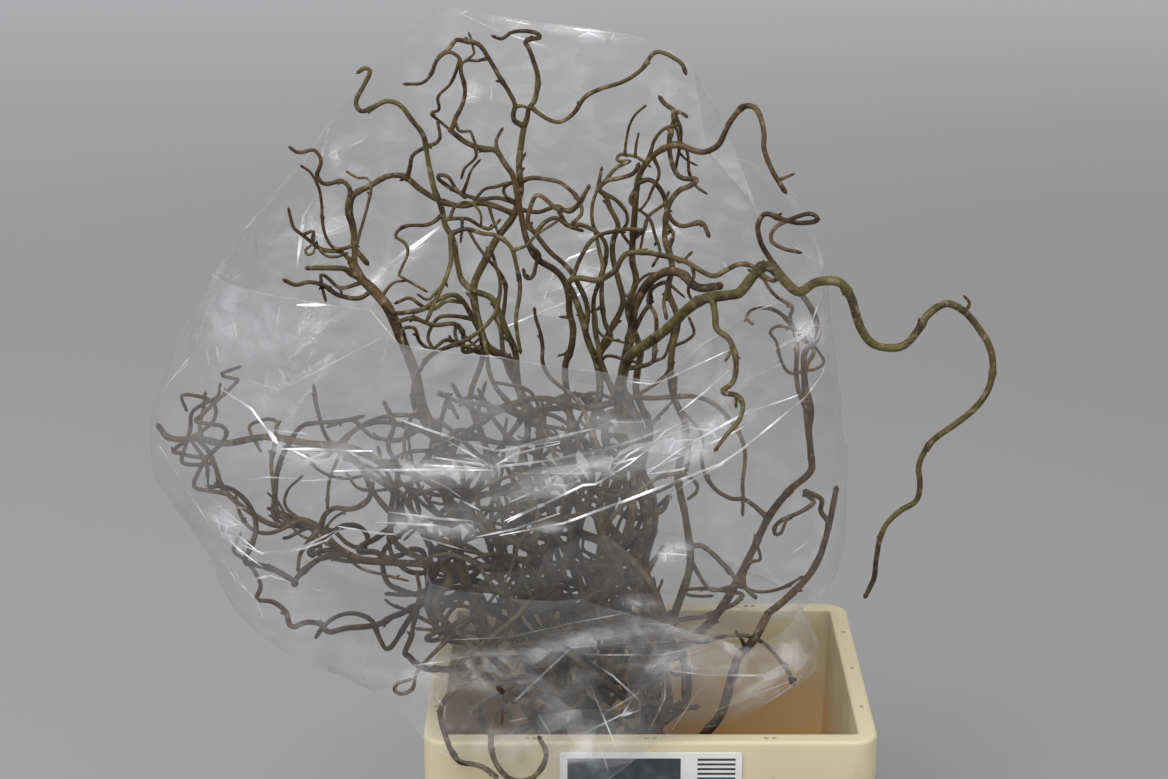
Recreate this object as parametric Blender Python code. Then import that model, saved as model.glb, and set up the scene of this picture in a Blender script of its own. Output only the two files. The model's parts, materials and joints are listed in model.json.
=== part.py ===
"""A bunch of corkscrew hazel stems in two clear film sleeves, standing in a cream flower crate.

Units are metres and +Z is up. The origin is the middle of the crate's underside. The crate's long side
runs along X, and its front faces -Y. Every stem's centre line is one smooth curve through a few points.
Those above the crate are places in the front view, given as photograph pixels, some with a depth in
millimetres behind the crate's middle. Widths of stems and twigs are in millimetres too, foot first.
"""

import math
import random

import bpy
import bmesh
import numpy as np
from mathutils import Vector
from mathutils.bvhtree import BVHTree
from mathutils.geometry import convex_hull_2d

# The crate
CRATE_WIDTH = 0.400
CRATE_DEPTH = 0.300
CRATE_HEIGHT = 0.330
CORNER_RADIUS = 0.022
CORNER_STEPS = 4
WALL = 0.0028
WALL_DRAFT = 0.008
FLOOR_TOP = 0.004
FLANGE = 0.017
RIM_THICKNESS = 0.004
SKIRT_WALL = 0.0026
SKIRT_HEIGHT = 0.085
HOLE_RADIUS = 0.0022
HOLE_SIDES = 6
HOLE_SPACING = 0.105
RIB_AT = 0.106
RIB_SIZE = (0.0024, 0.0024, 0.050)
RIB_MIDDLE = CRATE_HEIGHT - 0.056
LABEL_SIZE = (0.160, 0.060)
LABEL_MIDDLE = CRATE_HEIGHT - 0.0395
LABEL_THICKNESS = 0.0012
LABEL_CORNER = 0.003

# The bunch
FOOT_CENTRE = (-0.045, 0.0)
FOOT_PITCH = 0.0145
STEM_FOOT_RADIUS = 0.0060
SEAT_GAP = 0.0003
TIED_SLOTS = [(i, 0) for i in range(-2, 3)] + [(i, j) for j in (-1, 1) for i in (-1.5, -0.5, 0.5, 1.5)]
TIE_HEIGHT = 0.085
TIE_SIZE = (0.0016, 0.010)
STRAIGHT_TO = 0.140
LOOSE_FOOT = (0.045, -0.045)
STEP = 0.005
SEED = 11

# Bending the lines clear of each other
GAP = 0.0026
ROUNDS = 400
SEARCH_REACH = 0.015
SPREAD_POINTS = 6
SPREAD_WIDTH = 2.6
ENDWISE = 0.6
FILM_REACH = 0.06
FILM_WATCH = 0.03
WATCH_EVERY = 20

# Which side of the main sleeve and of the lower sleeve a line keeps to: 1 is inside, -1 outside, 0 either
WITHIN = (1, 1)
OUTSIDE = (-1, 1)
FREE = (0, 1)

# The seeded twigs
CURL_STEP = 0.015
CURL_TURN = 0.62
CURL_WANDER = 0.40
CURL_RISE = 0.10
CURL_ROOM = 0.022
CURL_OUTWARD = 0.28
CURL_LENGTH = (0.16, 0.26)
CURL_HEIGHTS = (0.04, 0.27)

# The film sleeves: their lines round the bunch run anticlockwise, heights are above the crate's rim
FILM = 0.0010
FILM_GAP = 0.0004
SLEEVE_COLUMNS = 34
MAIN_RIM = [
    (213, 275, -60), (300, 300, -160), (370, 310, -185), (400, 345, -195), (500, 357, -200),
    (600, 372, -200), (655, 382, -190), (700, 345, -168), (751, 312, -130), (819, 280, -50), (805, 205, 30),
    (770, 172, 70), (706, 150, 130), (690, 60, 160), (635, 36, 200), (520, 20, 210), (440, 5, 190),
    (345, 105, 140), (300, 170, 90), (240, 240, 0)]
MAIN_HEM = [
    (-0.245, -0.108, 0.028), (-0.188, -0.132, 0.066), (-0.131, -0.140, 0.079), (-0.045, -0.140, 0.093),
    (0.025, -0.130, 0.089), (0.079, -0.100, 0.077), (0.109, -0.060, 0.073), (0.125, 0.0, 0.075),
    (0.100, 0.070, 0.080), (0.030, 0.120, 0.085), (-0.070, 0.135, 0.080), (-0.170, 0.120, 0.070),
    (-0.240, 0.060, 0.045), (-0.255, -0.020, 0.030)]
# Share of the way up, then the left, right, front and back reach
MAIN_BELLY = [
    (0.12, -0.370, 0.172, -0.172, 0.165), (0.32, -0.405, 0.179, -0.198, 0.190),
    (0.56, -0.446, 0.171, -0.214, 0.205), (0.80, -0.405, 0.158, -0.212, 0.210)]
COLLAR_HEM = [
    (-0.226, -0.120, 0.042), (-0.216, -0.156, 0.034), (-0.200, -0.172, 0.020), (-0.183, -0.182, 0.008),
    (-0.157, -0.186, -0.003), (-0.131, -0.188, -0.016), (-0.097, -0.188, -0.026), (-0.045, -0.182, -0.024),
    (-0.015, -0.168, -0.008), (0.010, -0.158, 0.008), (0.045, -0.141, 0.010), (0.070, -0.122, 0.006),
    (0.085, -0.108, 0.006), (0.109, -0.082, 0.008), (0.137, -0.060, 0.012), (0.155, -0.040, 0.017),
    (0.159, -0.020, 0.028), (0.156, 0.0, 0.034), (0.141, 0.022, 0.036), (0.100, 0.060, 0.030),
    (0.030, 0.100, 0.030), (-0.070, 0.108, 0.030), (-0.160, 0.100, 0.035), (-0.205, 0.060, 0.040),
    (-0.215, -0.020, 0.042), (-0.216, -0.080, 0.042)]
COLLAR_BELLY = [(0.5, -0.208, 0.150, -0.150, 0.112)]
COLLAR_MOUTH = [
    (-0.060, -0.114, 0.120), (0.000, -0.112, 0.100), (0.050, -0.104, 0.080), (0.090, -0.094, 0.064),
    (0.120, -0.060, 0.064), (0.141, -0.010, 0.066), (0.130, 0.030, 0.066), (0.080, 0.075, 0.075),
    (0.000, 0.105, 0.100), (-0.070, 0.110, 0.120), (-0.150, 0.095, 0.120), (-0.190, 0.050, 0.115),
    (-0.202, -0.010, 0.110), (-0.195, -0.070, 0.115), (-0.150, -0.106, 0.122)]

# The front view: the eye's place, its downward tilt, and the pixels that one radian spans at the middle
EYE = np.array([-0.0586, -2.034, CRATE_HEIGHT + 0.971])
EYE_TILT = math.radians(18.9)
PIXELS_PER_RADIAN = 2400.0
VIEW_MIDDLE = (584.0, 389.5)
FORWARD = np.array([0.0, math.cos(EYE_TILT), -math.sin(EYE_TILT)])
UPWARD = np.array([0.0, math.sin(EYE_TILT), math.cos(EYE_TILT)])
RIGHTWARD = np.array([1.0, 0.0, 0.0])


def seen(across, down, depth):
    """The point seen at a pixel of the front view, depth metres behind the crate's middle."""
    ray = (
        FORWARD
        + RIGHTWARD * (across - VIEW_MIDDLE[0]) / PIXELS_PER_RADIAN
        + UPWARD * (VIEW_MIDDLE[1] - down) / PIXELS_PER_RADIAN
    )
    return EYE + ray * (depth - EYE[1]) / ray[1]


def pixel_of(points):
    """Where points of the model lie in the front view."""
    away = points - EYE
    reach = away @ FORWARD
    return np.stack(
        [
            VIEW_MIDDLE[0] + PIXELS_PER_RADIAN * (away @ RIGHTWARD) / reach,
            VIEW_MIDDLE[1] - PIXELS_PER_RADIAN * (away @ UPWARD) / reach,
        ],
        axis=1,
    )


def placed(route, first_depth=None):
    """A route's points in space. A place with no depth of its own takes one between its neighbours'."""
    known = [(i, place[2] / 1000) for i, place in enumerate(route) if len(place) == 3]
    if first_depth is not None:
        known = [(0, first_depth)] + [pair for pair in known if pair[0] > 0]
    depths = np.interp(range(len(route)), *zip(*known))
    return np.array([seen(place[0], place[1], d) for place, d in zip(route, depths)])


def smooth_curve(knots):
    """Points STEP apart along a centripetal curve through the knots."""
    ends = np.vstack([2 * knots[0] - knots[1], knots, 2 * knots[-1] - knots[-2]])
    made = []
    for a, b, c, d in zip(ends, ends[1:], ends[2:], ends[3:]):
        t1 = np.linalg.norm(b - a) ** 0.5
        t2 = t1 + np.linalg.norm(c - b) ** 0.5
        t3 = t2 + np.linalg.norm(d - c) ** 0.5
        t = np.linspace(t1, t2, 12, endpoint=False)[:, None]
        ab = (t1 - t) / t1 * a + t / t1 * b
        bc = (t2 - t) / (t2 - t1) * b + (t - t1) / (t2 - t1) * c
        cd = (t3 - t) / (t3 - t2) * c + (t - t2) / (t3 - t2) * d
        abc = (t2 - t) / t2 * ab + t / t2 * bc
        bcd = (t3 - t) / (t3 - t1) * bc + (t - t1) / (t3 - t1) * cd
        made.append((t2 - t) / (t2 - t1) * abc + (t - t1) / (t2 - t1) * bcd)
    made = np.vstack(made + [knots[-1:]])
    along = np.concatenate([[0], np.cumsum(np.linalg.norm(np.diff(made, axis=0), axis=1))])
    count = max(3, round(along[-1] / STEP) + 1)
    spread = np.linspace(0, along[-1], count)
    return np.stack([np.interp(spread, along, made[:, k]) for k in range(3)], axis=1)


def foot_at(slot):
    """Where a stem of the tied bunch stands, in rows that nest like honeycomb."""
    return (FOOT_CENTRE[0] + slot[0] * FOOT_PITCH, FOOT_CENTRE[1] + slot[1] * FOOT_PITCH * math.sqrt(3) / 2)


class Bunch:
    """The centre lines of all stems and twigs, with a radius at each point."""

    def __init__(self):
        self.lines = []

    def add(self, node, points, widths, parent=None, joint=0, sides=WITHIN):
        share = np.linspace(0, 1, len(points))
        radii = np.interp(share, np.linspace(0, 1, len(widths)), widths) / 2000
        if parent is not None:
            radii = np.minimum(radii, 0.85 * self.lines[parent]["radii"][joint])
        self.lines.append(
            {"node": node, "points": points, "radii": radii, "parent": parent, "joint": joint, "sides": sides})
        return len(self.lines) - 1

    def stem(self, node, foot, widths, route, sides=WITHIN):
        """A stem that stands on the crate's floor, goes up through the tie, and on along its route."""
        heights = (FLOOR_TOP + SEAT_GAP, 0.05, 0.10, STRAIGHT_TO)
        upright = np.array([[foot[0], foot[1], z] for z in heights])
        return self.add(node, smooth_curve(np.vstack([upright, placed(route)])), widths, sides=sides)

    def twig(self, parent, widths, route, sides=WITHIN):
        """A twig that grows from the place on its parent nearest to its route's first place."""
        line = self.lines[parent]
        joint = int(np.argmin(np.linalg.norm(pixel_of(line["points"]) - route[0][:2], axis=1)))
        root = line["points"][joint]
        knots = np.vstack([root, placed(route, root[1])[1:]])
        return self.add(line["node"], smooth_curve(knots), widths, parent, joint, sides)

    def curl(self, parent, height, length, heading, widths, bag, draw):
        """A corkscrew side twig of seeded shape, from where its parent first reaches a height."""
        line = self.lines[parent]
        joint = int(np.argmax(line["points"][:, 2] > height))
        outward = Vector(heading).normalized()
        heading, axis = outward.copy(), outward.orthogonal().normalized()
        place = Vector(line["points"][joint])
        knots = [place.copy()]
        for _ in range(round(length / CURL_STEP)):
            wander = Vector((draw.gauss(0, 1), draw.gauss(0, 1), draw.gauss(0, 1)))
            axis = (axis + CURL_WANDER * wander).normalized()
            heading = heading + CURL_TURN * axis.cross(heading) + CURL_OUTWARD * outward
            heading = (heading + Vector((0, 0, CURL_RISE))).normalized()
            near, normal, _, gap = bag.find_nearest(place)
            if gap < CURL_ROOM:
                heading = (heading - 1.2 * normal).normalized()
            place = place + heading * CURL_STEP
            knots.append(place.copy())
        return self.add(line["node"], smooth_curve(np.array(knots)), widths, parent, joint)


def stem_left(bunch):
    main = bunch.stem("stem_left", foot_at((-2, 0)), (12, 10.6, 9, 8.2, 7.6), [
        (548, 745, -10), (522, 700), (498, 660), (480, 615), (462, 570), (455, 530, -30), (446, 490),
        (440, 450), (424, 410), (414, 370), (400, 335, -50), (388, 308), (374, 291), (360, 277), (352, 262, -40)])
    low = bunch.twig(main, (6.4, 6, 4.4), [
        (446, 490), (420, 476), (390, 466), (350, 448, -60), (310, 444), (270, 437), (230, 440), (200, 438),
        (185, 439), (170, 438), (160, 433), (153, 425, -40)])
    bunch.twig(low, (3.6, 2.8), [(204, 438), (200, 424), (203, 410), (205, 395, -20)])
    bunch.twig(main, (3.4, 3, 2.4), [
        (352, 262), (341, 252), (331, 251), (321, 249), (314, 244), (301, 234), (294, 228), (291, 220),
        (289, 211, -70)])
    top = bunch.twig(main, (4.4, 3.6, 2.6), [
        (355, 269), (354, 240), (352, 226), (347, 210), (350, 191), (347, 184), (339, 181), (332, 183),
        (324, 184), (317, 176), (319, 169), (321, 160), (314, 150), (307, 151), (299, 153), (292, 149, -60)])
    bunch.twig(top, (2.8, 2.2), [
        (353, 243), (336, 249), (326, 237), (322, 217), (322, 207), (319, 189), (311, 173), (303, 167, -80)])
    bunch.twig(main, (2.8, 2), [
        (352, 262), (358, 240), (360, 232), (367, 208), (371, 183), (366, 178), (358, 178), (349, 173, -10)])
    bunch.twig(main, (4.6, 4), [(360, 277), (351, 274), (345, 269), (334, 268), (322, 268), (309, 268, -70)])
    bunch.twig(main, (3.8, 3.2), [
        (374, 291), (360, 298), (338, 295), (323, 285), (308, 282), (296, 285), (286, 281, -75)])
    bunch.twig(main, (3.2, 2.4), [(352, 292), (340, 288), (330, 280), (321, 274), (322, 286), (325, 298, -60)])
    return main


def stem_low(bunch):
    main = bunch.stem("stem_low", foot_at((-1.5, -1)), (12, 10.6, 8, 6.4, 5, 3.6), [
        (560, 745, -25), (528, 705), (492, 668), (455, 632, -60), (420, 600), (390, 570), (360, 560, -85),
        (335, 545), (320, 528), (300, 520), (285, 525), (270, 524), (250, 512), (234, 500), (220, 484),
        (217, 472), (208, 450), (198, 440, -60)])
    bunch.twig(main, (3.6, 2.6), [(300, 520), (275, 532), (262, 533), (250, 528), (240, 514), (236, 498, -100)])
    bunch.twig(main, (5.4, 4), [(320, 528), (325, 515), (335, 508), (352, 509), (368, 500), (372, 484, -120)])
    bunch.twig(main, (4.4, 3), [(320, 528), (310, 540), (300, 555), (298, 568, -100)])
    bunch.twig(main, (5, 3.4), [
        (390, 572), (385, 540), (389, 510), (394, 488), (398, 468), (388, 446), (394, 424), (385, 404, -120)])
    bunch.twig(main, (4.6, 3), [
        (455, 632), (430, 640), (408, 632), (392, 612), (372, 604), (350, 612), (332, 600), (318, 606, -60)])
    bunch.twig(main, (5, 4.4, 4), [
        (492, 668), (462, 684, -85), (443, 703, -125), (441, 718, -160), (446, 735, -172), (451, 750), (460, 762),
        (472, 764), (483, 767), (495, 776, -174)], FREE)
    bunch.twig(main, (5, 4.6, 4), [
        (528, 705), (508, 700, -80), (494, 718, -140), (492, 735, -168), (492, 750), (497, 765), (512, 780),
        (530, 779), (543, 766), (546, 750), (540, 738, -172)], FREE)
    bunch.twig(main, (3.6, 3), [
        (455, 632), (432, 655, -88), (416, 674, -112), (412, 689), (401, 693), (393, 688), (395, 680),
        (406, 677, -118)], FREE)
    return main


def stem_arch(bunch):
    main = bunch.stem("stem_arch", foot_at((-0.5, 1)), (12, 11, 9, 7.5, 6.8, 6, 4.6), [
        (590, 745, 10), (576, 700), (558, 655), (564, 610), (548, 560), (552, 515), (537, 470), (540, 430),
        (520, 392), (507, 358, 10), (497, 353), (487, 346), (481, 331), (475, 306), (474, 285), (485, 261),
        (498, 237), (514, 215), (519, 199), (521, 187), (519, 164), (522, 140), (524, 126, 15)])
    arch = bunch.twig(main, (6.8, 6.2, 5.2, 4.6), [
        (514, 214), (500, 208), (482, 203), (462, 206), (441, 201), (420, 189), (411, 181), (403, 176),
        (388, 176), (370, 186), (354, 195), (350, 210), (354, 229), (354, 246), (366, 262, -20)])
    bunch.twig(arch, (3.6, 2.6), [
        (408, 178), (410, 167), (413, 155), (428, 146), (436, 143), (440, 137), (438, 124, -40)])
    left = bunch.twig(main, (3.8, 3.4), [(524, 128), (515, 121), (513, 115), (515, 105), (509, 92), (499, 76),
        (488, 57), (478, 44), (464, 41), (456, 40), (449, 49), (440, 56, -20)])
    bunch.twig(left, (2.6, 2), [(488, 57), (474, 61), (467, 60), (460, 66, -10)])
    right = bunch.twig(main, (4.4, 3.6, 2.6), [
        (524, 128), (527, 119), (529, 108), (534, 102), (538, 81), (536, 69), (529, 49), (525, 41), (532, 39),
        (541, 37), (536, 33), (518, 31), (508, 34), (503, 39), (495, 37, -10)])
    bunch.twig(right, (4.2, 4, 3.4), [
        (529, 108), (538, 113), (558, 122), (573, 114), (585, 97), (600, 89), (622, 82), (633, 76), (643, 68),
        (650, 57), (656, 52), (664, 53), (674, 58), (682, 64), (685, 71, -20)])
    bunch.twig(main, (3.6, 3), [
        (521, 184), (531, 178), (551, 180), (561, 183), (576, 196), (582, 212), (574, 222, -30)])
    bunch.twig(main, (3.2, 2.6), [(520, 182), (505, 184), (495, 187), (485, 189), (476, 198, 0)])
    bunch.twig(main, (3.4, 3), [
        (517, 203), (498, 198), (479, 199), (460, 193), (442, 182), (437, 176), (447, 176), (456, 189), (463, 196, 0)])
    bunch.twig(main, (3.6, 2.8), [
        (520, 212), (538, 212), (548, 209), (558, 206), (568, 212), (580, 204), (586, 192, -20)])
    return main


def stem_dark(bunch):
    main = bunch.stem("stem_dark", foot_at((0.5, 1)), (12, 10.6, 8, 6, 5.4, 5, 4), [
        (612, 745, 25), (606, 700), (588, 655), (590, 610), (572, 560), (580, 515), (566, 470), (570, 420),
        (565, 366, 25), (571, 349), (573, 329), (569, 310), (569, 298), (563, 279), (555, 270), (538, 259),
        (527, 241), (523, 224), (518, 200), (513, 176), (505, 164), (495, 150), (485, 149), (467, 143),
        (451, 131, -20)])
    hook = bunch.twig(main, (3.6, 3, 2.4), [
        (452, 132), (456, 117), (463, 103), (465, 89), (461, 71), (460, 59), (449, 52), (437, 60), (431, 74),
        (422, 83), (407, 84, -30)])
    bunch.twig(hook, (2.8, 2.2), [
        (460, 62), (451, 83), (438, 97), (439, 110), (431, 113), (442, 123), (450, 130, 10)])
    bunch.twig(main, (2.6, 2), [(476, 148), (476, 157), (465, 168), (462, 176, -10)])
    bunch.twig(main, (3, 2.4), [(500, 156), (496, 142), (501, 131, 0)])
    bunch.twig(main, (3.8, 3), [
        (530, 246), (540, 256), (536, 264), (533, 276), (527, 279), (524, 272, 0)])
    return main


def stem_green(bunch):
    main = bunch.stem("stem_green", foot_at((-0.5, -1)), (12, 10.6, 7.5, 5.6, 5, 4.2, 3.2), [
        (585, 745, -20), (566, 700), (545, 655), (548, 610), (530, 565), (538, 520), (520, 475), (528, 430),
        (518, 385), (515, 351, -25), (508, 335), (501, 317), (491, 298), (472, 290), (462, 280), (457, 261),
        (452, 237), (446, 227), (442, 210), (434, 188), (428, 160), (423, 135), (411, 119), (400, 105),
        (387, 101), (370, 109), (361, 111), (356, 103), (364, 85), (370, 71), (366, 68), (360, 71, -60)])
    down = bunch.twig(main, (3.8, 3), [
        (449, 232), (451, 252), (451, 261), (445, 280), (437, 297), (428, 318, -70)])
    bunch.twig(main, (3, 2.2), [
        (442, 214), (434, 222), (425, 225), (406, 226), (398, 231), (395, 236), (405, 243), (408, 252),
        (401, 269), (399, 275), (405, 279), (417, 286), (424, 290, -50)])
    bunch.twig(main, (3.6, 3), [
        (452, 234), (465, 229), (485, 234), (495, 235), (505, 241), (512, 249), (517, 268), (520, 288),
        (516, 321), (520, 350, -40)])
    bunch.twig(down, (2.6, 2), [(442, 285), (436, 292), (428, 300), (420, 296, -70)])
    bunch.twig(main, (3, 2.4), [(449, 217), (468, 219), (478, 225), (489, 229), (498, 222, -30)])
    return main


def stem_wavy(bunch):
    main = bunch.stem("stem_wavy", foot_at((0.5, -1)), (12, 10.6, 8, 6.4, 5.4, 4.4, 3.4), [
        (608, 745, -20), (598, 700), (612, 655), (600, 610), (612, 565, -42), (598, 520), (606, 475), (592, 430),
        (600, 390), (596, 361, -15), (588, 341), (581, 315), (572, 291), (568, 283), (577, 278), (598, 280),
        (614, 271), (625, 255), (640, 252), (665, 256), (684, 261), (703, 272), (714, 276), (730, 268),
        (740, 264), (752, 266), (765, 277), (774, 281), (778, 276, -90)])
    loop = bunch.twig(main, (4.2, 3.8, 3.2), [
        (586, 331), (588, 306), (580, 287), (568, 268), (550, 252), (535, 233), (528, 224), (531, 205),
        (537, 195), (544, 198), (557, 209), (573, 209), (582, 198), (588, 188, -50)])
    bunch.twig(loop, (3.6, 3), [(535, 233), (545, 222), (556, 218), (568, 226), (580, 230, -20)])
    bunch.twig(main, (3.6, 2.8), [
        (574, 282), (583, 253), (596, 237), (616, 231), (629, 229), (642, 230, -20)])
    bunch.twig(main, (2.8, 2.2), [(690, 263), (694, 276), (688, 290), (694, 304, -60)])
    return main


def stem_knot(bunch):
    main = bunch.stem("stem_knot", foot_at((1.5, -1)), (12, 10.6, 8, 6, 5.4, 4.4, 3.4), [
        (628, 745, -10), (630, 700), (615, 655), (628, 610), (618, 560), (630, 515, -20), (618, 470), (624, 425),
        (612, 390), (600, 360, 0), (604, 342), (615, 322), (623, 302), (619, 282), (613, 258), (613, 240),
        (618, 226), (609, 206), (605, 195), (599, 190), (606, 181), (620, 178), (634, 173), (638, 166, -30)])
    bunch.twig(main, (4, 3.4), [
        (602, 350), (611, 338), (605, 323), (602, 302), (602, 278), (606, 247), (598, 233), (581, 225),
        (568, 225), (560, 213, -20)])
    loop = bunch.twig(main, (3, 2.4), [(607, 183), (616, 168), (630, 161), (617, 161), (619, 155), (636, 157),
        (648, 165, 0)])
    bunch.twig(loop, (2.6, 2), [(626, 156), (626, 142), (630, 124), (636, 114), (644, 107, -30)])
    bunch.twig(loop, (2.4, 1.8), [(637, 157), (636, 146), (638, 136, -10)])
    bunch.twig(main, (3.2, 2.6), [(606, 194), (616, 200), (626, 212), (627, 223), (622, 232), (630, 244, 10)])
    return main


def stem_long(bunch):
    main = bunch.stem("stem_long", foot_at((0, 0)), (12, 11.4, 10.5, 9, 8, 7, 5.6, 4.6, 3.8), [
        (600, 745, 0), (592, 700), (578, 655), (584, 610), (600, 565, 12), (606, 520), (622, 475), (626, 435),
        (618, 400), (622, 378, -40), (630, 356), (648, 343), (668, 328), (690, 307, -140), (703, 299),
        (728, 295), (739, 293), (754, 275), (762, 267), (770, 267), (784, 280, -180), (799, 292), (816, 282),
        (839, 282), (850, 296), (861, 329), (872, 343), (886, 348), (903, 346), (917, 332), (926, 317),
        (945, 304, -140), (959, 308), (968, 315), (979, 329), (989, 346), (993, 365), (989, 388),
        (976, 407), (956, 424), (937, 437), (926, 449), (919, 466), (920, 486), (916, 501), (900, 511),
        (886, 525), (879, 542), (876, 559), (874, 578), (866, 595, -90)], FREE)
    drop = bunch.twig(main, (4.8, 4, 3), [
        (710, 298), (715, 313), (717, 329), (729, 339), (736, 360), (733, 382), (722, 392), (738, 396),
        (743, 406), (738, 422), (728, 433), (717, 448, -232)], OUTSIDE)
    bunch.twig(drop, (2.8, 2.2), [(731, 341), (731, 351), (726, 360, -225)], OUTSIDE)
    bunch.twig(main, (2.8, 2.2), [(966, 312), (970, 304), (966, 298, -140)], OUTSIDE)
    return main


def stem_thick(bunch):
    main = bunch.stem("stem_thick", foot_at((1, 0)), (12, 11, 9.5, 8.4, 7.6, 7, 6.6), [
        (626, 745, 10), (640, 700), (634, 655), (646, 610), (636, 565), (648, 520), (636, 475), (640, 430),
        (622, 385, 20), (624, 364), (631, 334), (635, 307), (646, 286), (654, 278), (665, 272), (676, 272),
        (685, 276), (692, 284), (702, 288), (719, 286, -50)])
    bunch.twig(main, (3.8, 3), [
        (626, 350), (641, 317), (651, 301), (651, 291), (662, 283), (669, 284), (664, 300), (666, 316, -30)])
    bunch.twig(main, (3.8, 3), [
        (624, 368), (652, 362), (655, 345), (656, 317), (648, 300), (652, 286, 60)])
    bunch.twig(main, (3.4, 2.6), [(636, 400), (668, 372), (672, 348), (686, 341), (694, 333), (690, 320, 0)])
    return main


def stem_cluster(bunch):
    main = bunch.stem("stem_cluster", foot_at((1.5, 1)), (12, 10.6, 8, 6, 5.2, 4.6, 3.8), [
        (640, 745, 25), (652, 700), (642, 655), (656, 610), (645, 565), (654, 520), (640, 475), (650, 430),
        (636, 390), (640, 350, 45), (628, 310), (636, 280), (632, 260), (633, 237), (635, 211), (639, 176),
        (648, 161), (661, 150), (671, 146), (681, 146), (700, 152), (711, 150), (719, 144), (730, 122),
        (743, 107), (750, 106), (757, 110), (764, 133), (764, 148), (773, 172), (784, 190, -60)])
    bunch.twig(main, (2.6, 2), [(777, 179), (784, 178), (791, 175, -60)])
    bunch.twig(main, (3.2, 2.6), [(646, 163), (651, 151), (654, 141), (664, 129), (677, 125, 0)])
    bunch.twig(main, (4, 3.4), [
        (638, 180), (651, 180), (663, 194), (669, 215), (675, 223), (683, 226), (702, 223), (708, 234, 0)])
    bunch.twig(main, (3.2, 2.6), [
        (634, 240), (644, 230), (648, 217), (656, 210), (664, 204), (668, 194, 70)])
    bunch.twig(main, (3, 2.4), [
        (638, 190), (630, 200), (634, 206), (649, 218), (656, 239), (660, 252), (654, 264, 20)])
    return main


def stem_upright(bunch):
    main = bunch.stem("stem_upright", foot_at((2, 0)), (12, 10.6, 7.5, 6, 5.2, 4.4, 3.6), [
        (652, 745, 10), (668, 700), (662, 655), (676, 610), (690, 565), (686, 520), (678, 475), (686, 430),
        (672, 390), (672, 350, -15), (678, 320), (668, 290), (672, 266), (665, 240), (665, 227), (669, 204),
        (680, 190), (690, 186), (698, 179), (688, 179), (680, 177), (674, 169), (669, 144), (672, 128),
        (675, 112), (665, 104), (661, 99, 20)])
    bunch.twig(main, (3.4, 2.8), [(672, 126), (676, 114), (680, 112), (686, 116, -20)])
    bunch.twig(main, (3, 2.4), [(674, 118), (681, 130), (679, 151), (676, 166, 30)])
    bunch.twig(main, (2.8, 2.2), [
        (670, 142), (683, 144), (688, 156), (689, 172), (696, 186), (704, 192, 20)])
    bunch.twig(main, (3, 2.4), [(666, 232), (672, 231), (673, 238), (670, 251), (680, 262), (690, 254, 40)])
    bunch.twig(main, (3.6, 2.6), [
        (688, 560), (712, 590), (735, 586), (760, 592), (782, 588), (800, 578, 0)])
    return main


def stem_curled(bunch):
    main = bunch.stem("stem_curled", foot_at((-1, 0)), (12, 10.6, 7.5, 6, 5, 4.2, 3.4), [
        (572, 745, 5), (548, 700), (525, 660), (512, 615), (500, 570), (505, 525), (490, 480), (484, 440),
        (470, 400), (482, 360, -5), (482, 340), (471, 315), (460, 298), (451, 295), (432, 303), (423, 309),
        (401, 313), (391, 313), (384, 306, -70)])
    bunch.twig(main, (3.4, 2.8), [
        (462, 300), (446, 301), (434, 309), (422, 306), (410, 298), (398, 302, -20)])
    bunch.twig(main, (4, 3.4), [
        (478, 348), (464, 352), (463, 334), (455, 324), (434, 325), (412, 318), (398, 322, -60)])
    bunch.twig(main, (3.4, 2.6), [
        (478, 352), (461, 345), (446, 340), (432, 349), (420, 342), (414, 328), (402, 330), (404, 348, -75)])
    bunch.twig(main, (3.4, 2.6), [(472, 318), (452, 316), (438, 318), (428, 338), (434, 350, -30)])
    bunch.twig(main, (4.4, 3.2), [
        (484, 440), (460, 430), (440, 440), (420, 430), (400, 440), (372, 436), (352, 420), (330, 426, 0)])
    return main


def stem_side(bunch):
    main = bunch.stem("stem_side", foot_at((-1.5, 1)), (12, 10.6, 8, 6.4, 5.2, 4.2, 3), [
        (566, 745, 35), (590, 700), (640, 665), (690, 640, 70), (720, 610), (748, 560), (770, 515), (790, 490),
        (811, 470, 10), (811, 454), (809, 430), (811, 409), (806, 390), (804, 371), (805, 352), (818, 336),
        (816, 320), (806, 300), (790, 284), (774, 264), (762, 245), (758, 225), (765, 214), (782, 219),
        (800, 223), (818, 220), (812, 214), (791, 219), (774, 229), (771, 240), (782, 248), (798, 252, -60)])
    bunch.twig(main, (2.8, 2.2), [
        (804, 372), (790, 373), (782, 363), (776, 341), (770, 332), (778, 326), (792, 329, -30)])
    bunch.twig(main, (2.6, 2), [(804, 372), (818, 368), (824, 362), (816, 348, 0)])
    return main


def stem_front(bunch):
    main = bunch.stem("stem_front", LOOSE_FOOT, (12, 10.6, 8.6, 7.6, 6, 4.4), [
        (700, 745, -50), (722, 712, -72), (731, 680, -78), (740, 655, -78), (752, 646), (778, 628, -62),
        (800, 600, -48), (815, 570), (828, 530), (836, 490, -20)])
    bunch.twig(main, (3.4, 2.6), [(744, 652), (743, 642), (737, 633, -85)])
    return main


# Each stem, the number of its seeded twigs, and the compass direction that they lean to
STEMS = [
    (stem_left, 3, 130), (stem_low, 3, 215), (stem_arch, 3, 105), (stem_dark, 3, 60), (stem_green, 3, 235),
    (stem_wavy, 3, -75), (stem_knot, 2, -50), (stem_long, 2, 80), (stem_thick, 3, 20),
    (stem_cluster, 3, 70), (stem_upright, 2, -10), (stem_curled, 3, 160), (stem_side, 3, 115),
    (stem_front, 1, 0)]


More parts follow.
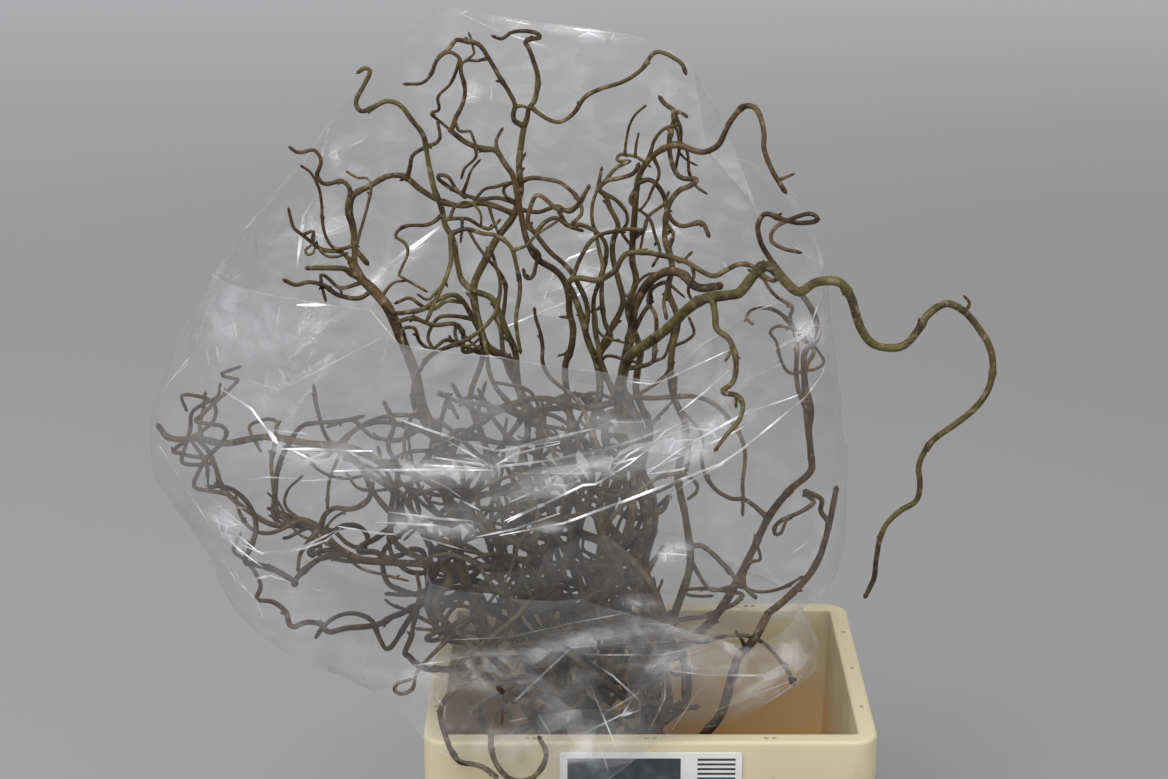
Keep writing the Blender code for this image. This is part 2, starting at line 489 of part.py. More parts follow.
def add_curls(bunch, mains, bag, draw):
    """Seeded side twigs on every stem, towards the sides and the back that the front view doesn't show."""
    for main, (count, leaning) in mains.items():
        for k in range(count):
            height = CRATE_HEIGHT + draw.uniform(*CURL_HEIGHTS)
            turn = math.radians(leaning + draw.uniform(-50, 50))
            heading = (math.cos(turn), math.sin(turn), draw.uniform(0.1, 0.8))
            bunch.curl(main, height, draw.uniform(*CURL_LENGTH), heading, (4.4, 2.6), bag, draw)


def neighbours(points, reach):
    """Pairs of points closer than reach, by sorting them into cubes of that size."""
    cubes = {}
    for index, cube in enumerate(map(tuple, np.floor(points / reach).astype(int))):
        cubes.setdefault(cube, []).append(index)
    ahead = [(i, j, k) for i in (-1, 0, 1) for j in (-1, 0, 1) for k in (-1, 0, 1) if (i, j, k) > (0, 0, 0)]
    first, second = [], []
    for cube, here in cubes.items():
        for a in range(len(here)):
            first += [here[a]] * (len(here) - a - 1)
            second += here[a + 1:]
        for step in ahead:
            there = cubes.get((cube[0] + step[0], cube[1] + step[1], cube[2] + step[2]), ())
            for a in here:
                first += [a] * len(there)
                second += there
    return np.array(first), np.array(second)


def spread_push(push, free):
    """Spreads a push along its line, so that the line bends over a few centimetres and keeps no kink."""
    reach = SPREAD_POINTS
    kernel = np.exp(-0.5 * (np.arange(-reach, reach + 1) / SPREAD_WIDTH) ** 2)
    spread = np.stack([np.convolve(push[:, k], kernel, "full")[reach:-reach] for k in range(3)], axis=1)
    size = np.linalg.norm(spread, axis=1).max()
    wanted = np.linalg.norm(push, axis=1).max()
    spread *= min(1.0, wanted / size) if size > 0 else 0.0
    return spread * free[:, None]


def fore_and_aft(first, second, deep, owner):
    """For each close pair, which of its two lines lies nearer the eye along that stretch: 1 or -1."""
    side = np.ones(len(deep))
    keys = owner[first] * len(owner) + owner[second]
    for key in np.unique(keys):
        pairs = np.flatnonzero(keys == key)
        alike = np.abs(first[pairs][:, None] - first[pairs][None, :]) <= 10
        side[pairs] = np.where(alike @ deep[pairs] >= 0, 1.0, -1.0)
    return side


def parting_axes(points, along, other):
    """The direction that parts each close pair of lines: nearly along the sight, so that the front view keeps
    its shape, or square to both lines where one of them runs along the sight itself."""
    sight = points - EYE
    sight /= np.linalg.norm(sight, axis=1)[:, None]
    along = along / np.linalg.norm(along, axis=1)[:, None]
    other = other / np.linalg.norm(other, axis=1)[:, None]
    slant = np.einsum("ij,ij->i", sight, along)
    level = sight - along * slant[:, None]
    square = np.cross(along, other)
    endwise = np.maximum(np.abs(slant), np.abs(np.einsum("ij,ij->i", sight, other))) > ENDWISE
    crossing = endwise & (np.linalg.norm(square, axis=1) > 0.35)
    axis = np.where(crossing[:, None], square, level)
    axis *= np.where(np.einsum("ij,ij->i", axis, sight) < 0, -1.0, 1.0)[:, None]
    return axis / np.maximum(np.linalg.norm(axis, axis=1), 1e-9)[:, None]


def settle(bunch, sleeves, crate):
    """Bends the lines clear of other stems, of the sleeves and of the crate."""
    lines = bunch.lines
    starts = np.cumsum([0] + [len(line["points"]) for line in lines])
    radii = np.concatenate([line["radii"] for line in lines])
    names = sorted({line["node"] for line in lines})
    node = np.concatenate([[names.index(line["node"])] * len(line["points"]) for line in lines])
    owner = np.concatenate([[i] * len(line["points"]) for i, line in enumerate(lines)])
    for turn in range(ROUNDS):
        points = np.vstack([line["points"] for line in lines])
        push = np.zeros_like(points)
        first, second = neighbours(points, SEARCH_REACH)
        first, second = np.minimum(first, second), np.maximum(first, second)
        between = points[second] - points[first]
        need = radii[first] + radii[second] + GAP
        close = (node[first] != node[second]) & (np.linalg.norm(between, axis=1) < need)
        first, second, between, need = first[close], second[close], between[close], need[close]
        tangents = np.vstack([np.gradient(line["points"], axis=0) for line in lines])
        axis = parting_axes(points[first], tangents[first], tangents[second])
        deep = np.einsum("ij,ij->i", between, axis)
        across = np.einsum("ij,ij->i", between, between) - deep ** 2
        side = fore_and_aft(first, second, deep, owner)
        wanted = np.sqrt(np.maximum(need ** 2 - across, 0)) - side * deep
        order = np.argsort(wanted)
        for index, sign in ((first, -0.5), (second, 0.5)):
            push[index[order]] = (axis * (sign * side * wanted)[:, None])[order]
        if turn % WATCH_EVERY == 0:
            watched = [nearby(points, sleeve) for sleeve in sleeves]
        for i, line in enumerate(lines):
            part = slice(starts[i], starts[i + 1])
            push[part] += crate_push(line, points[part], crate)
            for side_kept, sleeve, watch in zip(line["sides"], sleeves, watched):
                push[part] += film_push(line, points[part], sleeve, side_kept, watch[part])
            line["push"] = spread_push(push[part], rise(line))
        for line in lines:
            if line["parent"] is not None:
                parent = lines[line["parent"]]
                lag = parent["push"][line["joint"]] - line["push"][0]
                line["push"] += lag * np.exp(-np.arange(len(line["push"])) / 5.0)[:, None]
            line["points"] = line["points"] + line["push"]
        if not len(first) and np.abs(push).max() < 2e-4:
            break


def rise(line):
    """How far each point may be bent: a stem's tied foot stays where it is."""
    if line["parent"] is not None:
        return np.ones(len(line["points"]))
    return np.clip((line["points"][:, 2] - STRAIGHT_TO + 0.01) / 0.06, 0.0, 1.0)


def nearby(points, sleeve):
    """Which points are near enough to a sleeve to reach it in the next rounds."""
    found = [sleeve.find_nearest(Vector(point), FILM_REACH)[3] for point in points]
    return np.array([gap is not None and gap < FILM_WATCH for gap in found])


def film_push(line, points, sleeve, side, watch):
    """What brings a line back to its own side of a sleeve."""
    push = np.zeros_like(points)
    if side == 0:
        return push
    for i in np.flatnonzero(watch):
        point = points[i]
        near, normal, _, gap = sleeve.find_nearest(Vector(point), FILM_REACH)
        if near is None or point[2] < STRAIGHT_TO:
            continue
        need = line["radii"][i] + FILM / 2 + FILM_GAP
        above = side * float((point - np.array(near)) @ np.array(normal))
        if above > -need and (gap < need or abs(above) > 0.7 * gap):
            push[i] = -side * np.array(normal) * (need + above) * 0.7
    return push


def crate_push(line, points, crate):
    """What keeps a line clear of the crate's walls and rim."""
    push = np.zeros_like(points)
    for i, (point, radius) in enumerate(zip(points, line["radii"])):
        if point[2] < STRAIGHT_TO or point[2] > CRATE_HEIGHT + 0.02:
            continue
        near, normal, _, gap = crate.find_nearest(Vector(point), 0.03)
        if near is None:
            continue
        inside = float((point - np.array(near)) @ np.array(normal)) < 0
        need = radius + GAP
        if inside or gap < need:
            push[i] = np.array(normal) * (need + gap if inside else need - gap)
    return push


def thinned(points, radii, sharpest):
    """The points of a line that its solid needs: more in a bend, few along a straight run."""
    kept, turned, run = [0], 0.0, 0.0
    for i in range(1, len(points) - 1):
        before, after = Vector(points[i] - points[i - 1]), Vector(points[i + 1] - points[i])
        turned += before.angle(after)
        run += before.length
        if (turned > sharpest and run > 0.0055) or run > 0.045:
            kept.append(i)
            turned, run = 0.0, 0.0
    kept.append(len(points) - 1)
    return points[kept], radii[kept]


def tube(name, points, radii, sides):
    """A closed tube along a line, its rings carried from one to the next without twist."""
    mesh = bmesh.new()
    path = [Vector(point) for point in points]
    tangent = (path[1] - path[0]).normalized()
    across = tangent.orthogonal().normalized()
    rings = []
    for i, centre in enumerate(path):
        onward = (path[min(i + 1, len(path) - 1)] - path[max(i - 1, 0)]).normalized()
        across = tangent.rotation_difference(onward) @ across
        across = (across - onward * across.dot(onward)).normalized()
        tangent, over = onward, onward.cross(across)
        turns = [2 * math.pi * k / sides for k in range(sides)]
        rings.append([mesh.verts.new(centre + float(radii[i]) * (math.cos(t) * across + math.sin(t) * over))
                      for t in turns])
    for low, high in zip(rings, rings[1:]):
        for k in range(sides):
            mesh.faces.new((low[k - 1], low[k], high[k], high[k - 1]))
    mesh.faces.new(rings[0][::-1])
    mesh.faces.new(rings[-1])
    return mesh_object(name, mesh)


def mesh_object(name, mesh, material=None):
    """A scene object from a bmesh, its faces pointing out."""
    bmesh.ops.recalc_face_normals(mesh, faces=mesh.faces)
    data = bpy.data.meshes.new(name)
    mesh.to_mesh(data)
    mesh.free()
    made = bpy.data.objects.new(name, data)
    bpy.context.scene.collection.objects.link(made)
    if material is not None:
        data.materials.append(material)
    return made


def boolean(target, others, operation, solver):
    """Applies one Boolean with all the others to the target, and removes the others."""
    operands = bpy.data.collections.new("operands")
    bpy.context.scene.collection.children.link(operands)
    for other in others:
        bpy.context.scene.collection.objects.unlink(other)
        operands.objects.link(other)
    step = target.modifiers.new(operation.lower(), "BOOLEAN")
    step.operation = operation
    step.solver = solver
    step.operand_type = "COLLECTION"
    step.collection = operands
    bpy.context.view_layer.update()
    graph = bpy.context.evaluated_depsgraph_get()
    joined = bpy.data.meshes.new_from_object(target.evaluated_get(graph))
    target.modifiers.clear()
    target.data = joined
    for other in others:
        bpy.data.objects.remove(other)
    bpy.data.collections.remove(operands)


def build_stems(bunch, bark):
    """One solid for each stem, with its twigs fused to it."""
    for name in sorted({line["node"] for line in bunch.lines}):
        tubes = []
        for line in [line for line in bunch.lines if line["node"] == name]:
            thick = line["radii"].max()
            sides, sharpest = (5, 0.5) if line["parent"] is None else (4, 0.62) if thick > 0.0016 else (3, 0.7)
            tubes.append(tube(name, *thinned(line["points"], line["radii"], sharpest), sides))
        if len(tubes) > 1:
            boolean(tubes[0], tubes[1:], "UNION", "MANIFOLD")
        tubes[0].name = name
        tubes[0].data.materials.clear()
        tubes[0].data.materials.append(bark)
        tubes[0].data.shade_smooth()


def rounded_rectangle(inset, height):
    """A ring round the crate, inset from its outer size."""
    radius = max(CORNER_RADIUS - inset, 0.004)
    half_width, half_depth = CRATE_WIDTH / 2 - inset - radius, CRATE_DEPTH / 2 - inset - radius
    ring = []
    for quarter, (sx, sy) in enumerate(((1, 1), (-1, 1), (-1, -1), (1, -1))):
        for step in range(CORNER_STEPS + 1):
            turn = math.radians(90 * (quarter + step / CORNER_STEPS))
            ring.append(Vector((sx * half_width + radius * math.cos(turn),
                                sy * half_depth + radius * math.sin(turn), height)))
    return ring


def bridged(mesh, rings):
    """Closes a row of equal rings into faces, each ring to the next."""
    for low, high in zip(rings, rings[1:]):
        for k in range(len(low)):
            mesh.faces.new((low[k - 1], low[k], high[k], high[k - 1]))


def build_crate(plastic):
    """The crate: a double-walled rim with a skirt, one tapered wall, a floor and drain holes in the rim."""
    top, inner = CRATE_HEIGHT, FLANGE + WALL_DRAFT
    profile = [
        (inner - WALL, 0), (FLANGE - WALL, top - RIM_THICKNESS), (SKIRT_WALL, top - RIM_THICKNESS),
        (SKIRT_WALL, top - SKIRT_HEIGHT), (0, top - SKIRT_HEIGHT), (0, top - 0.0035), (0.0012, top - 0.001),
        (0.0036, top), (FLANGE - 0.0018, top), (FLANGE, top - 0.0018), (inner, FLOOR_TOP)]
    mesh = bmesh.new()
    rings = [[mesh.verts.new(v) for v in rounded_rectangle(inset, z)] for inset, z in profile]
    bridged(mesh, rings)
    mesh.faces.new(rings[0][::-1])
    mesh.faces.new(rings[-1])
    crate = mesh_object("crate", mesh, plastic)
    holes = []
    for x, y in rim_holes():
        drill = bmesh.new()
        bmesh.ops.create_cone(drill, cap_ends=True, segments=HOLE_SIDES, radius1=HOLE_RADIUS, radius2=HOLE_RADIUS,
                              depth=4 * RIM_THICKNESS)
        bmesh.ops.translate(drill, verts=drill.verts, vec=(x, y, top))
        holes.append(mesh_object("hole", drill))
    boolean(crate, holes, "DIFFERENCE", "EXACT")
    boolean(crate, build_ribs(), "UNION", "EXACT")
    return crate


def build_ribs():
    """Upright ribs on the skirt, on either side of the label and opposite it."""
    ribs = []
    for x in (-RIB_AT, RIB_AT):
        for y in (-CRATE_DEPTH / 2, CRATE_DEPTH / 2):
            mesh = bmesh.new()
            bmesh.ops.create_cube(mesh, size=1.0)
            bmesh.ops.scale(mesh, verts=mesh.verts, vec=RIB_SIZE)
            bmesh.ops.translate(mesh, verts=mesh.verts, vec=(x, y, RIB_MIDDLE))
            ribs.append(mesh_object("rib", mesh))
    return ribs


def rim_holes():
    """Centres of the drain holes: pairs along the long sides, single ones along the short sides."""
    y = CRATE_DEPTH / 2 - FLANGE / 2
    x = CRATE_WIDTH / 2 - FLANGE / 2
    for centre in (-HOLE_SPACING, 0.0, HOLE_SPACING):
        for shift in (-0.0035, 0.0035):
            yield centre + shift, y
            yield centre + shift, -y
    for across in (-0.08, 0.0, 0.08):
        yield x, across
        yield -x, across


def build_label(card):
    """The blank plate on the crate's front."""
    mesh = bmesh.new()
    width, height = LABEL_SIZE
    low, high = -CRATE_DEPTH / 2 - SEAT_GAP - LABEL_THICKNESS, -CRATE_DEPTH / 2 - SEAT_GAP
    rings = []
    for y in (low, high):
        ring = []
        for quarter, (sx, sz) in enumerate(((1, 1), (-1, 1), (-1, -1), (1, -1))):
            for step in range(3):
                turn = math.radians(90 * quarter + 45 * step)
                ring.append(mesh.verts.new((
                    sx * (width / 2 - LABEL_CORNER) + LABEL_CORNER * math.cos(turn), y,
                    LABEL_MIDDLE + sz * (height / 2 - LABEL_CORNER) + LABEL_CORNER * math.sin(turn))))
        rings.append(ring)
    bridged(mesh, rings)
    mesh.faces.new(rings[0])
    mesh.faces.new(rings[1][::-1])
    return mesh_object("label_plate", mesh, card)


def build_tie(rubber):
    """The elastic tie, stretched round the feet of the tied stems."""
    def outline(radius):
        turns = [2 * math.pi * k / 12 for k in range(12)]
        marks = [(foot_x + radius * math.cos(t), foot_y + radius * math.sin(t))
                 for foot_x, foot_y in map(foot_at, TIED_SLOTS) for t in turns]
        return [marks[i] for i in convex_hull_2d(marks)]
    mesh = bmesh.new()
    inside = (STEM_FOOT_RADIUS + SEAT_GAP) / math.cos(math.pi / 12)
    low, high = TIE_HEIGHT - TIE_SIZE[1] / 2, TIE_HEIGHT + TIE_SIZE[1] / 2
    rings = []
    for radius, z in ((inside, low), (inside + TIE_SIZE[0], low), (inside + TIE_SIZE[0], high), (inside, high)):
        rings.append([mesh.verts.new((x, y, z)) for x, y in outline(radius)])
    bridged(mesh, rings + rings[:1])
    return mesh_object("tie_band", mesh, rubber)


def ring_through(places, centre):
    """Distance from the centre and height, at each of the sleeve's columns, of a closed line of places."""
    away = [(math.atan2(y - centre[1], x - centre[0]) % (2 * math.pi), math.hypot(x - centre[0], y - centre[1]), z)
            for x, y, z in places]
    away.sort()
    turns, reach, heights = (np.array(v) for v in zip(*away))
    columns = np.linspace(0, 2 * math.pi, SLEEVE_COLUMNS, endpoint=False)
    at = [np.interp(columns, turns, v, period=2 * math.pi) for v in (reach, heights)]
    return np.stack([centre[0] + at[0] * np.cos(columns), centre[1] + at[0] * np.sin(columns), at[1]], axis=1)


def ring_round(left, right, front, back, heights):
    """A rounded ring of the sleeve between four sides, at the columns' own heights."""
    columns = np.linspace(0, 2 * math.pi, SLEEVE_COLUMNS, endpoint=False)
    c, s = np.cos(columns), np.sin(columns)
    middle = ((left + right) / 2, (front + back) / 2)
    soft = 2 / 2.3
    x = middle[0] + (right - left) / 2 * np.sign(c) * np.abs(c) ** soft
    y = middle[1] + (back - front) / 2 * np.sign(s) * np.abs(s) ** soft
    return np.stack([x, y, heights], axis=1)


def sleeve_rows(hem, rim, middles, rows):
    """Rows of points from the hem to the rim, along a smooth line up each column."""
    rings = [hem]
    for share, left, right, front, back in middles:
        rings.append(ring_round(left, right, front, back, hem[:, 2] * (1 - share) + rim[:, 2] * share))
    rings.append(rim)
    rings = np.array(rings)
    made = []
    for column in range(SLEEVE_COLUMNS):
        line = smooth_curve(rings[:, column])
        pick = np.linspace(0, len(line) - 1, rows).round().astype(int)
        made.append(line[pick])
    return np.array(made).transpose(1, 0, 2)


def main_sleeve_rows():
    """The clear main sleeve: a wide bag with a low front rim and a high back."""
    rim = ring_through([seen(a, d, depth / 1000) for a, d, depth in MAIN_RIM], (-0.12, 0.0))
    hem = ring_through([(x, y, CRATE_HEIGHT + z) for x, y, z in MAIN_HEM], (-0.065, 0.0))
    return sleeve_rows(hem, rim, MAIN_BELLY, 9)


def collar_rows():
    """The clear lower sleeve: a skirt whose left half hangs over the crate's front rim."""
    hem = ring_through([(x, y, CRATE_HEIGHT + z) for x, y, z in COLLAR_HEM], (-0.04, 0.0))
    mouth = ring_through([(x, y, CRATE_HEIGHT + z) for x, y, z in COLLAR_MOUTH], (-0.04, 0.0))
    return sleeve_rows(hem, mouth, COLLAR_BELLY, 5)


def film_normals(rows):
    """Outward directions of a sleeve's points."""
    around = np.roll(rows, -1, axis=1) - np.roll(rows, 1, axis=1)
    upward = np.gradient(rows, axis=0)
    normals = np.cross(around, upward)
    return normals / np.linalg.norm(normals, axis=2)[:, :, None]


def build_sleeve(name, rows, film):
    """A thin closed shell round a sleeve's rows."""
    shift = film_normals(rows) * FILM / 2
    mesh = bmesh.new()
    outer = [[mesh.verts.new(v) for v in row] for row in rows + shift]
    inner = [[mesh.verts.new(v) for v in row] for row in rows - shift]
    bridged(mesh, outer + inner[::-1] + outer[:1])
    bmesh.ops.triangulate(mesh, faces=mesh.faces)
    made = mesh_object(name, mesh, film)
    made.data.shade_smooth()
    return made


def surface_tree(rows):
    """The sleeve's middle surface, to measure distances from, its faces pointing out."""
    count = rows.shape[1]
    corners = [Vector(v) for v in rows.reshape(-1, 3)]
    faces = [(r * count + c, r * count + (c + 1) % count, (r + 1) * count + (c + 1) % count, (r + 1) * count + c)
             for r in range(rows.shape[0] - 1) for c in range(count)]
    return BVHTree.FromPolygons(corners, faces)


def material(name, colour, roughness, metallic=0.0, alpha=1.0):
    made = bpy.data.materials.new(name)
    made.use_nodes = True
    shader = made.node_tree.nodes["Principled BSDF"]
    shader.inputs["Base Color"].default_value = (*colour, 1.0)
    shader.inputs["Roughness"].default_value = roughness
    shader.inputs["Metallic"].default_value = metallic
    shader.inputs["Alpha"].default_value = alpha
    return made


def main():
    for leftover in list(bpy.data.objects):
        bpy.data.objects.remove(leftover)
    crate = build_crate(material("cream_plastic", (0.80, 0.72, 0.50), 0.45))
    build_label(material("label_card", (0.80, 0.80, 0.80), 0.5))
    build_tie(material("rubber_tie", (0.45, 0.30, 0.16), 0.7))
    film = material("clear_film", (0.92, 0.94, 0.96), 0.12, alpha=0.3)
    rows = main_sleeve_rows()
    build_sleeve("main_sleeve", rows, film)
    lower_rows = collar_rows()
    build_sleeve("lower_sleeve", lower_rows, film)

    bag = surface_tree(rows)
    bunch = Bunch()
    mains = {}
    for grow, count, leaning in STEMS:
        mains[grow(bunch)] = (count, leaning)
    add_curls(bunch, mains, bag, random.Random(SEED))
    mesh = bmesh.new()
    mesh.from_mesh(crate.data)
    settle(bunch, (bag, surface_tree(lower_rows)), BVHTree.FromBMesh(mesh))
    mesh.free()
    build_stems(bunch, material("bark", (0.16, 0.11, 0.06), 0.8))


main()
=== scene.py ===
"""Corkscrew hazel stems in two clear film sleeves, in a cream flower crate: fine shapes, materials and light.

Units are metres and +Z is up. The centre lines of stems and twigs are made the same way as in the part: each
is one smooth curve through a few places of the front view, given as pixels of a 1168 x 779 picture, some with
a depth in millimetres behind the crate's middle. Widths of stems are in millimetres too, foot first.
"""

import json
import math
import random

import bpy
import bmesh
import numpy as np
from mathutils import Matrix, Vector
from mathutils.bvhtree import BVHTree
from mathutils.geometry import convex_hull_2d

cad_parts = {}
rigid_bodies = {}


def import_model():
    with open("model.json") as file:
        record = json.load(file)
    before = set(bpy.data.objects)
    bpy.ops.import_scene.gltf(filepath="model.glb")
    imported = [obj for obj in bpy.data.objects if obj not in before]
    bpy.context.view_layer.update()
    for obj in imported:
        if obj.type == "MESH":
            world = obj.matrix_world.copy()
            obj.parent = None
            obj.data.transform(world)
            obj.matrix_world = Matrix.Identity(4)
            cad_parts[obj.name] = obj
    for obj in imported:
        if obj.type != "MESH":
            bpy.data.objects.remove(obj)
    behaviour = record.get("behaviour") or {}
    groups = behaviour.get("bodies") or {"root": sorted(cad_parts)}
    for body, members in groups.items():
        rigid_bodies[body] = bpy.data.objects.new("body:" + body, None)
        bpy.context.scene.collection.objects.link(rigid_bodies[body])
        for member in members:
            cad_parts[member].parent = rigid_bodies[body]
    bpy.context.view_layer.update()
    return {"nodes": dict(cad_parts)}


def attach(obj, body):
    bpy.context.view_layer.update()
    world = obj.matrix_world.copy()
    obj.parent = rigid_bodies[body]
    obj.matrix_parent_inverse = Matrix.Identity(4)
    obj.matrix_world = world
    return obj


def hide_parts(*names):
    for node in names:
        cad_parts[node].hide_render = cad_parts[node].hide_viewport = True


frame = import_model()

# The crate
CRATE_WIDTH = 0.400
CRATE_DEPTH = 0.300
CRATE_HEIGHT = 0.330
CORNER_RADIUS = 0.022
CORNER_STEPS = 12
WALL = 0.0028
WALL_DRAFT = 0.008
FLOOR_TOP = 0.004
FLANGE = 0.017
RIM_THICKNESS = 0.004
SKIRT_WALL = 0.0026
SKIRT_HEIGHT = 0.085
HOLE_RADIUS = 0.0022
HOLE_SPACING = 0.105
RIB_AT = 0.106
RIB_SIZE = (0.0024, 0.0024, 0.050)
RIB_MIDDLE = CRATE_HEIGHT - 0.056
LABEL_SIZE = (0.160, 0.060)
LABEL_MIDDLE = CRATE_HEIGHT - 0.0395
LABEL_THICKNESS = 0.0012
LABEL_CORNER = 0.003

# The bunch
FOOT_CENTRE = (-0.045, 0.0)
FOOT_PITCH = 0.0145
STEM_FOOT_RADIUS = 0.0060
SEAT_GAP = 0.0003
TIED_SLOTS = [(i, 0) for i in range(-2, 3)] + [(i, j) for j in (-1, 1) for i in (-1.5, -0.5, 0.5, 1.5)]
TIE_HEIGHT = 0.085
TIE_SIZE = (0.0016, 0.010)
STRAIGHT_TO = 0.140
LOOSE_FOOT = (0.045, -0.045)
STEP = 0.005
SEED = 11

# Bending the lines clear of each other
GAP = 0.0026
ROUNDS = 400
SEARCH_REACH = 0.015
SPREAD_POINTS = 6
SPREAD_WIDTH = 2.6
ENDWISE = 0.6
FILM_REACH = 0.06
FILM_WATCH = 0.03
WATCH_EVERY = 20

# Which side of the main sleeve and of the lower sleeve a line keeps to: 1 is inside, -1 outside, 0 either
WITHIN = (1, 1)
OUTSIDE = (-1, 1)
FREE = (0, 1)

# The seeded twigs
CURL_STEP = 0.015
CURL_TURN = 0.62
CURL_WANDER = 0.40
CURL_RISE = 0.10
CURL_ROOM = 0.022
CURL_OUTWARD = 0.28
CURL_LENGTH = (0.16, 0.26)
CURL_HEIGHTS = (0.04, 0.27)

# The film sleeves: their lines round the bunch run anticlockwise, heights are above the crate's rim
FILM = 0.0010
FILM_GAP = 0.0004
SLEEVE_COLUMNS = 34
MAIN_CAD_ROWS, LOWER_CAD_ROWS = 9, 5
RIM_CENTRE, HEM_CENTRE, COLLAR_CENTRE = (-0.12, 0.0), (-0.065, 0.0), (-0.04, 0.0)
MAIN_RIM = [
    (213, 275, -60), (300, 300, -160), (370, 310, -185), (400, 345, -195), (500, 357, -200),
    (600, 372, -200), (655, 382, -190), (700, 345, -168), (751, 312, -130), (819, 280, -50), (805, 205, 30),
    (770, 172, 70), (706, 150, 130), (690, 60, 160), (635, 36, 200), (520, 20, 210), (440, 5, 190),
    (345, 105, 140), (300, 170, 90), (240, 240, 0)]
MAIN_HEM = [
    (-0.245, -0.108, 0.028), (-0.188, -0.132, 0.066), (-0.131, -0.140, 0.079), (-0.045, -0.140, 0.093),
    (0.025, -0.130, 0.089), (0.079, -0.100, 0.077), (0.109, -0.060, 0.073), (0.125, 0.0, 0.075),
    (0.100, 0.070, 0.080), (0.030, 0.120, 0.085), (-0.070, 0.135, 0.080), (-0.170, 0.120, 0.070),
    (-0.240, 0.060, 0.045), (-0.255, -0.020, 0.030)]
# Share of the way up, then the left, right, front and back reach
MAIN_BELLY = [
    (0.12, -0.370, 0.172, -0.172, 0.165), (0.32, -0.405, 0.179, -0.198, 0.190),
    (0.56, -0.446, 0.171, -0.214, 0.205), (0.80, -0.405, 0.158, -0.212, 0.210)]
COLLAR_HEM = [
    (-0.226, -0.120, 0.042), (-0.216, -0.156, 0.034), (-0.200, -0.172, 0.020), (-0.183, -0.182, 0.008),
    (-0.157, -0.186, -0.003), (-0.131, -0.188, -0.016), (-0.097, -0.188, -0.026), (-0.045, -0.182, -0.024),
    (-0.015, -0.168, -0.008), (0.010, -0.158, 0.008), (0.045, -0.141, 0.010), (0.070, -0.122, 0.006),
    (0.085, -0.108, 0.006), (0.109, -0.082, 0.008), (0.137, -0.060, 0.012), (0.155, -0.040, 0.017),
    (0.159, -0.020, 0.028), (0.156, 0.0, 0.034), (0.141, 0.022, 0.036), (0.100, 0.060, 0.030),
    (0.030, 0.100, 0.030), (-0.070, 0.108, 0.030), (-0.160, 0.100, 0.035), (-0.205, 0.060, 0.040),
    (-0.215, -0.020, 0.042), (-0.216, -0.080, 0.042)]
COLLAR_BELLY = [(0.5, -0.208, 0.150, -0.150, 0.112)]
COLLAR_MOUTH = [
    (-0.060, -0.114, 0.120), (0.000, -0.112, 0.100), (0.050, -0.104, 0.080), (0.090, -0.094, 0.064),
    (0.120, -0.060, 0.064), (0.141, -0.010, 0.066), (0.130, 0.030, 0.066), (0.080, 0.075, 0.075),
    (0.000, 0.105, 0.100), (-0.070, 0.110, 0.120), (-0.150, 0.095, 0.120), (-0.190, 0.050, 0.115),
    (-0.202, -0.010, 0.110), (-0.195, -0.070, 0.115), (-0.150, -0.106, 0.122)]

# The fine shape and the looks of the film
MAIN_COLUMNS, MAIN_ROWS, MAIN_CREASES = 380, 190, 230
LOWER_COLUMNS, LOWER_ROWS, LOWER_CREASES = 300, 44, 90
FRONT_SHARE = 0.4
CREASE_TILT, CREASE_SPREAD = 14, 30
CREASE_LENGTH = (0.05, 0.20)
CREASE_WIDTH = (0.009, 0.028)
CREASE_HEIGHT = (0.0010, 0.0036)
# Folds are raised ribbons whitened by their brightness: partly the film's own whitening along a crease,
# partly a painted highlight. So are the seeded folds.
FOLD_STEP = 4.0
FOLD_JUMP = 0.03
FOLD_LIFT = 0.0004
SEEDED_FOLD_SHARE = 0.22
SEEDED_FOLD_WIDTH = (0.0008, 0.0016)
SEEDED_FOLD_BRIGHTNESS = (0.10, 0.40)
# The sleeves' edges are thin white ribbons too: a painted highlight along each edge
EDGE_WIDTH = 0.0011
EDGE_BRIGHTNESS = 0.45
FRONT_HAZE, BACK_HAZE, LOWER_HAZE = 0.39, 0.06, 0.26
HAZE_FADE = (400, 640, 0.55)
CLEAR_FROM = 700
FINE_LINE_SHARE = 0.35
FACETS, CRUMPLES = 11.0, 42.0
# A painted sheen that lightens the film's inner side all over
BACK_SHEEN = 0.11
# How bright the painted glow of the folds and of the painted sheen is
FOLD_GLOW, SHEEN_GLOW = 0.28, 0.12
EDGE_HAZE = 0.22
FILM_TINT = (0.258, 0.259, 0.266)
FILM_WHITE = (0.95, 0.96, 0.98)
# How much the film's large facets differ, and how bright its folds are
MAIN_LOOK, LOWER_LOOK = (0.22, 1.0), (0.50, 0.55)

# The fine shape and the looks of the wood
TWIG_BUDS = (0.034, 0.080)
STEM_BUDS = (0.060, 0.120)
BUD_LENGTH, BUD_RADIUS = 0.0036, 0.0012
END_BUD_LENGTH, END_BUD_SUNK = 0.0050, 0.0008
KNOT_GROWTH, KNOT_REACH = (0.12, 0.32), 0.0032
FORK_GROWTH, FORK_REACH = 0.40, 0.004
ROUGHNESS_OF_GIRTH = 0.06
TWIG_SIDES, STEM_SIDES = 8, 12
GIRTH = 1.13
SMALL_WIDTHS = (2.8, 2.0)
# The seeded twigs that fill the bunch behind the film: how many, then the ranges of their height above the
# crate's rim and of their length, their widths, and the ranges of their upward lean and of their direction
ALL_ROUND, LEFTWARD = (0.0, 6.28), (2.4, 3.9)
FILLING = [
    (66, (0.03, 0.24), (0.08, 0.20), (4.2, 2.2), (-0.5, 0.5), ALL_ROUND),
    (20, (0.00, 0.12), (0.18, 0.28), (7.0, 3.4), (0.6, 2.2), ALL_ROUND),
    (50, (-0.03, 0.07), (0.06, 0.13), (4.8, 2.4), (-0.4, 1.0), ALL_ROUND),
    (46, (-0.14, -0.03), (0.12, 0.20), (8.0, 4.2), (2.0, 5.0), ALL_ROUND),
    (54, (0.02, 0.30), (0.20, 0.38), (6.0, 3.0), (-0.3, 0.7), LEFTWARD)]
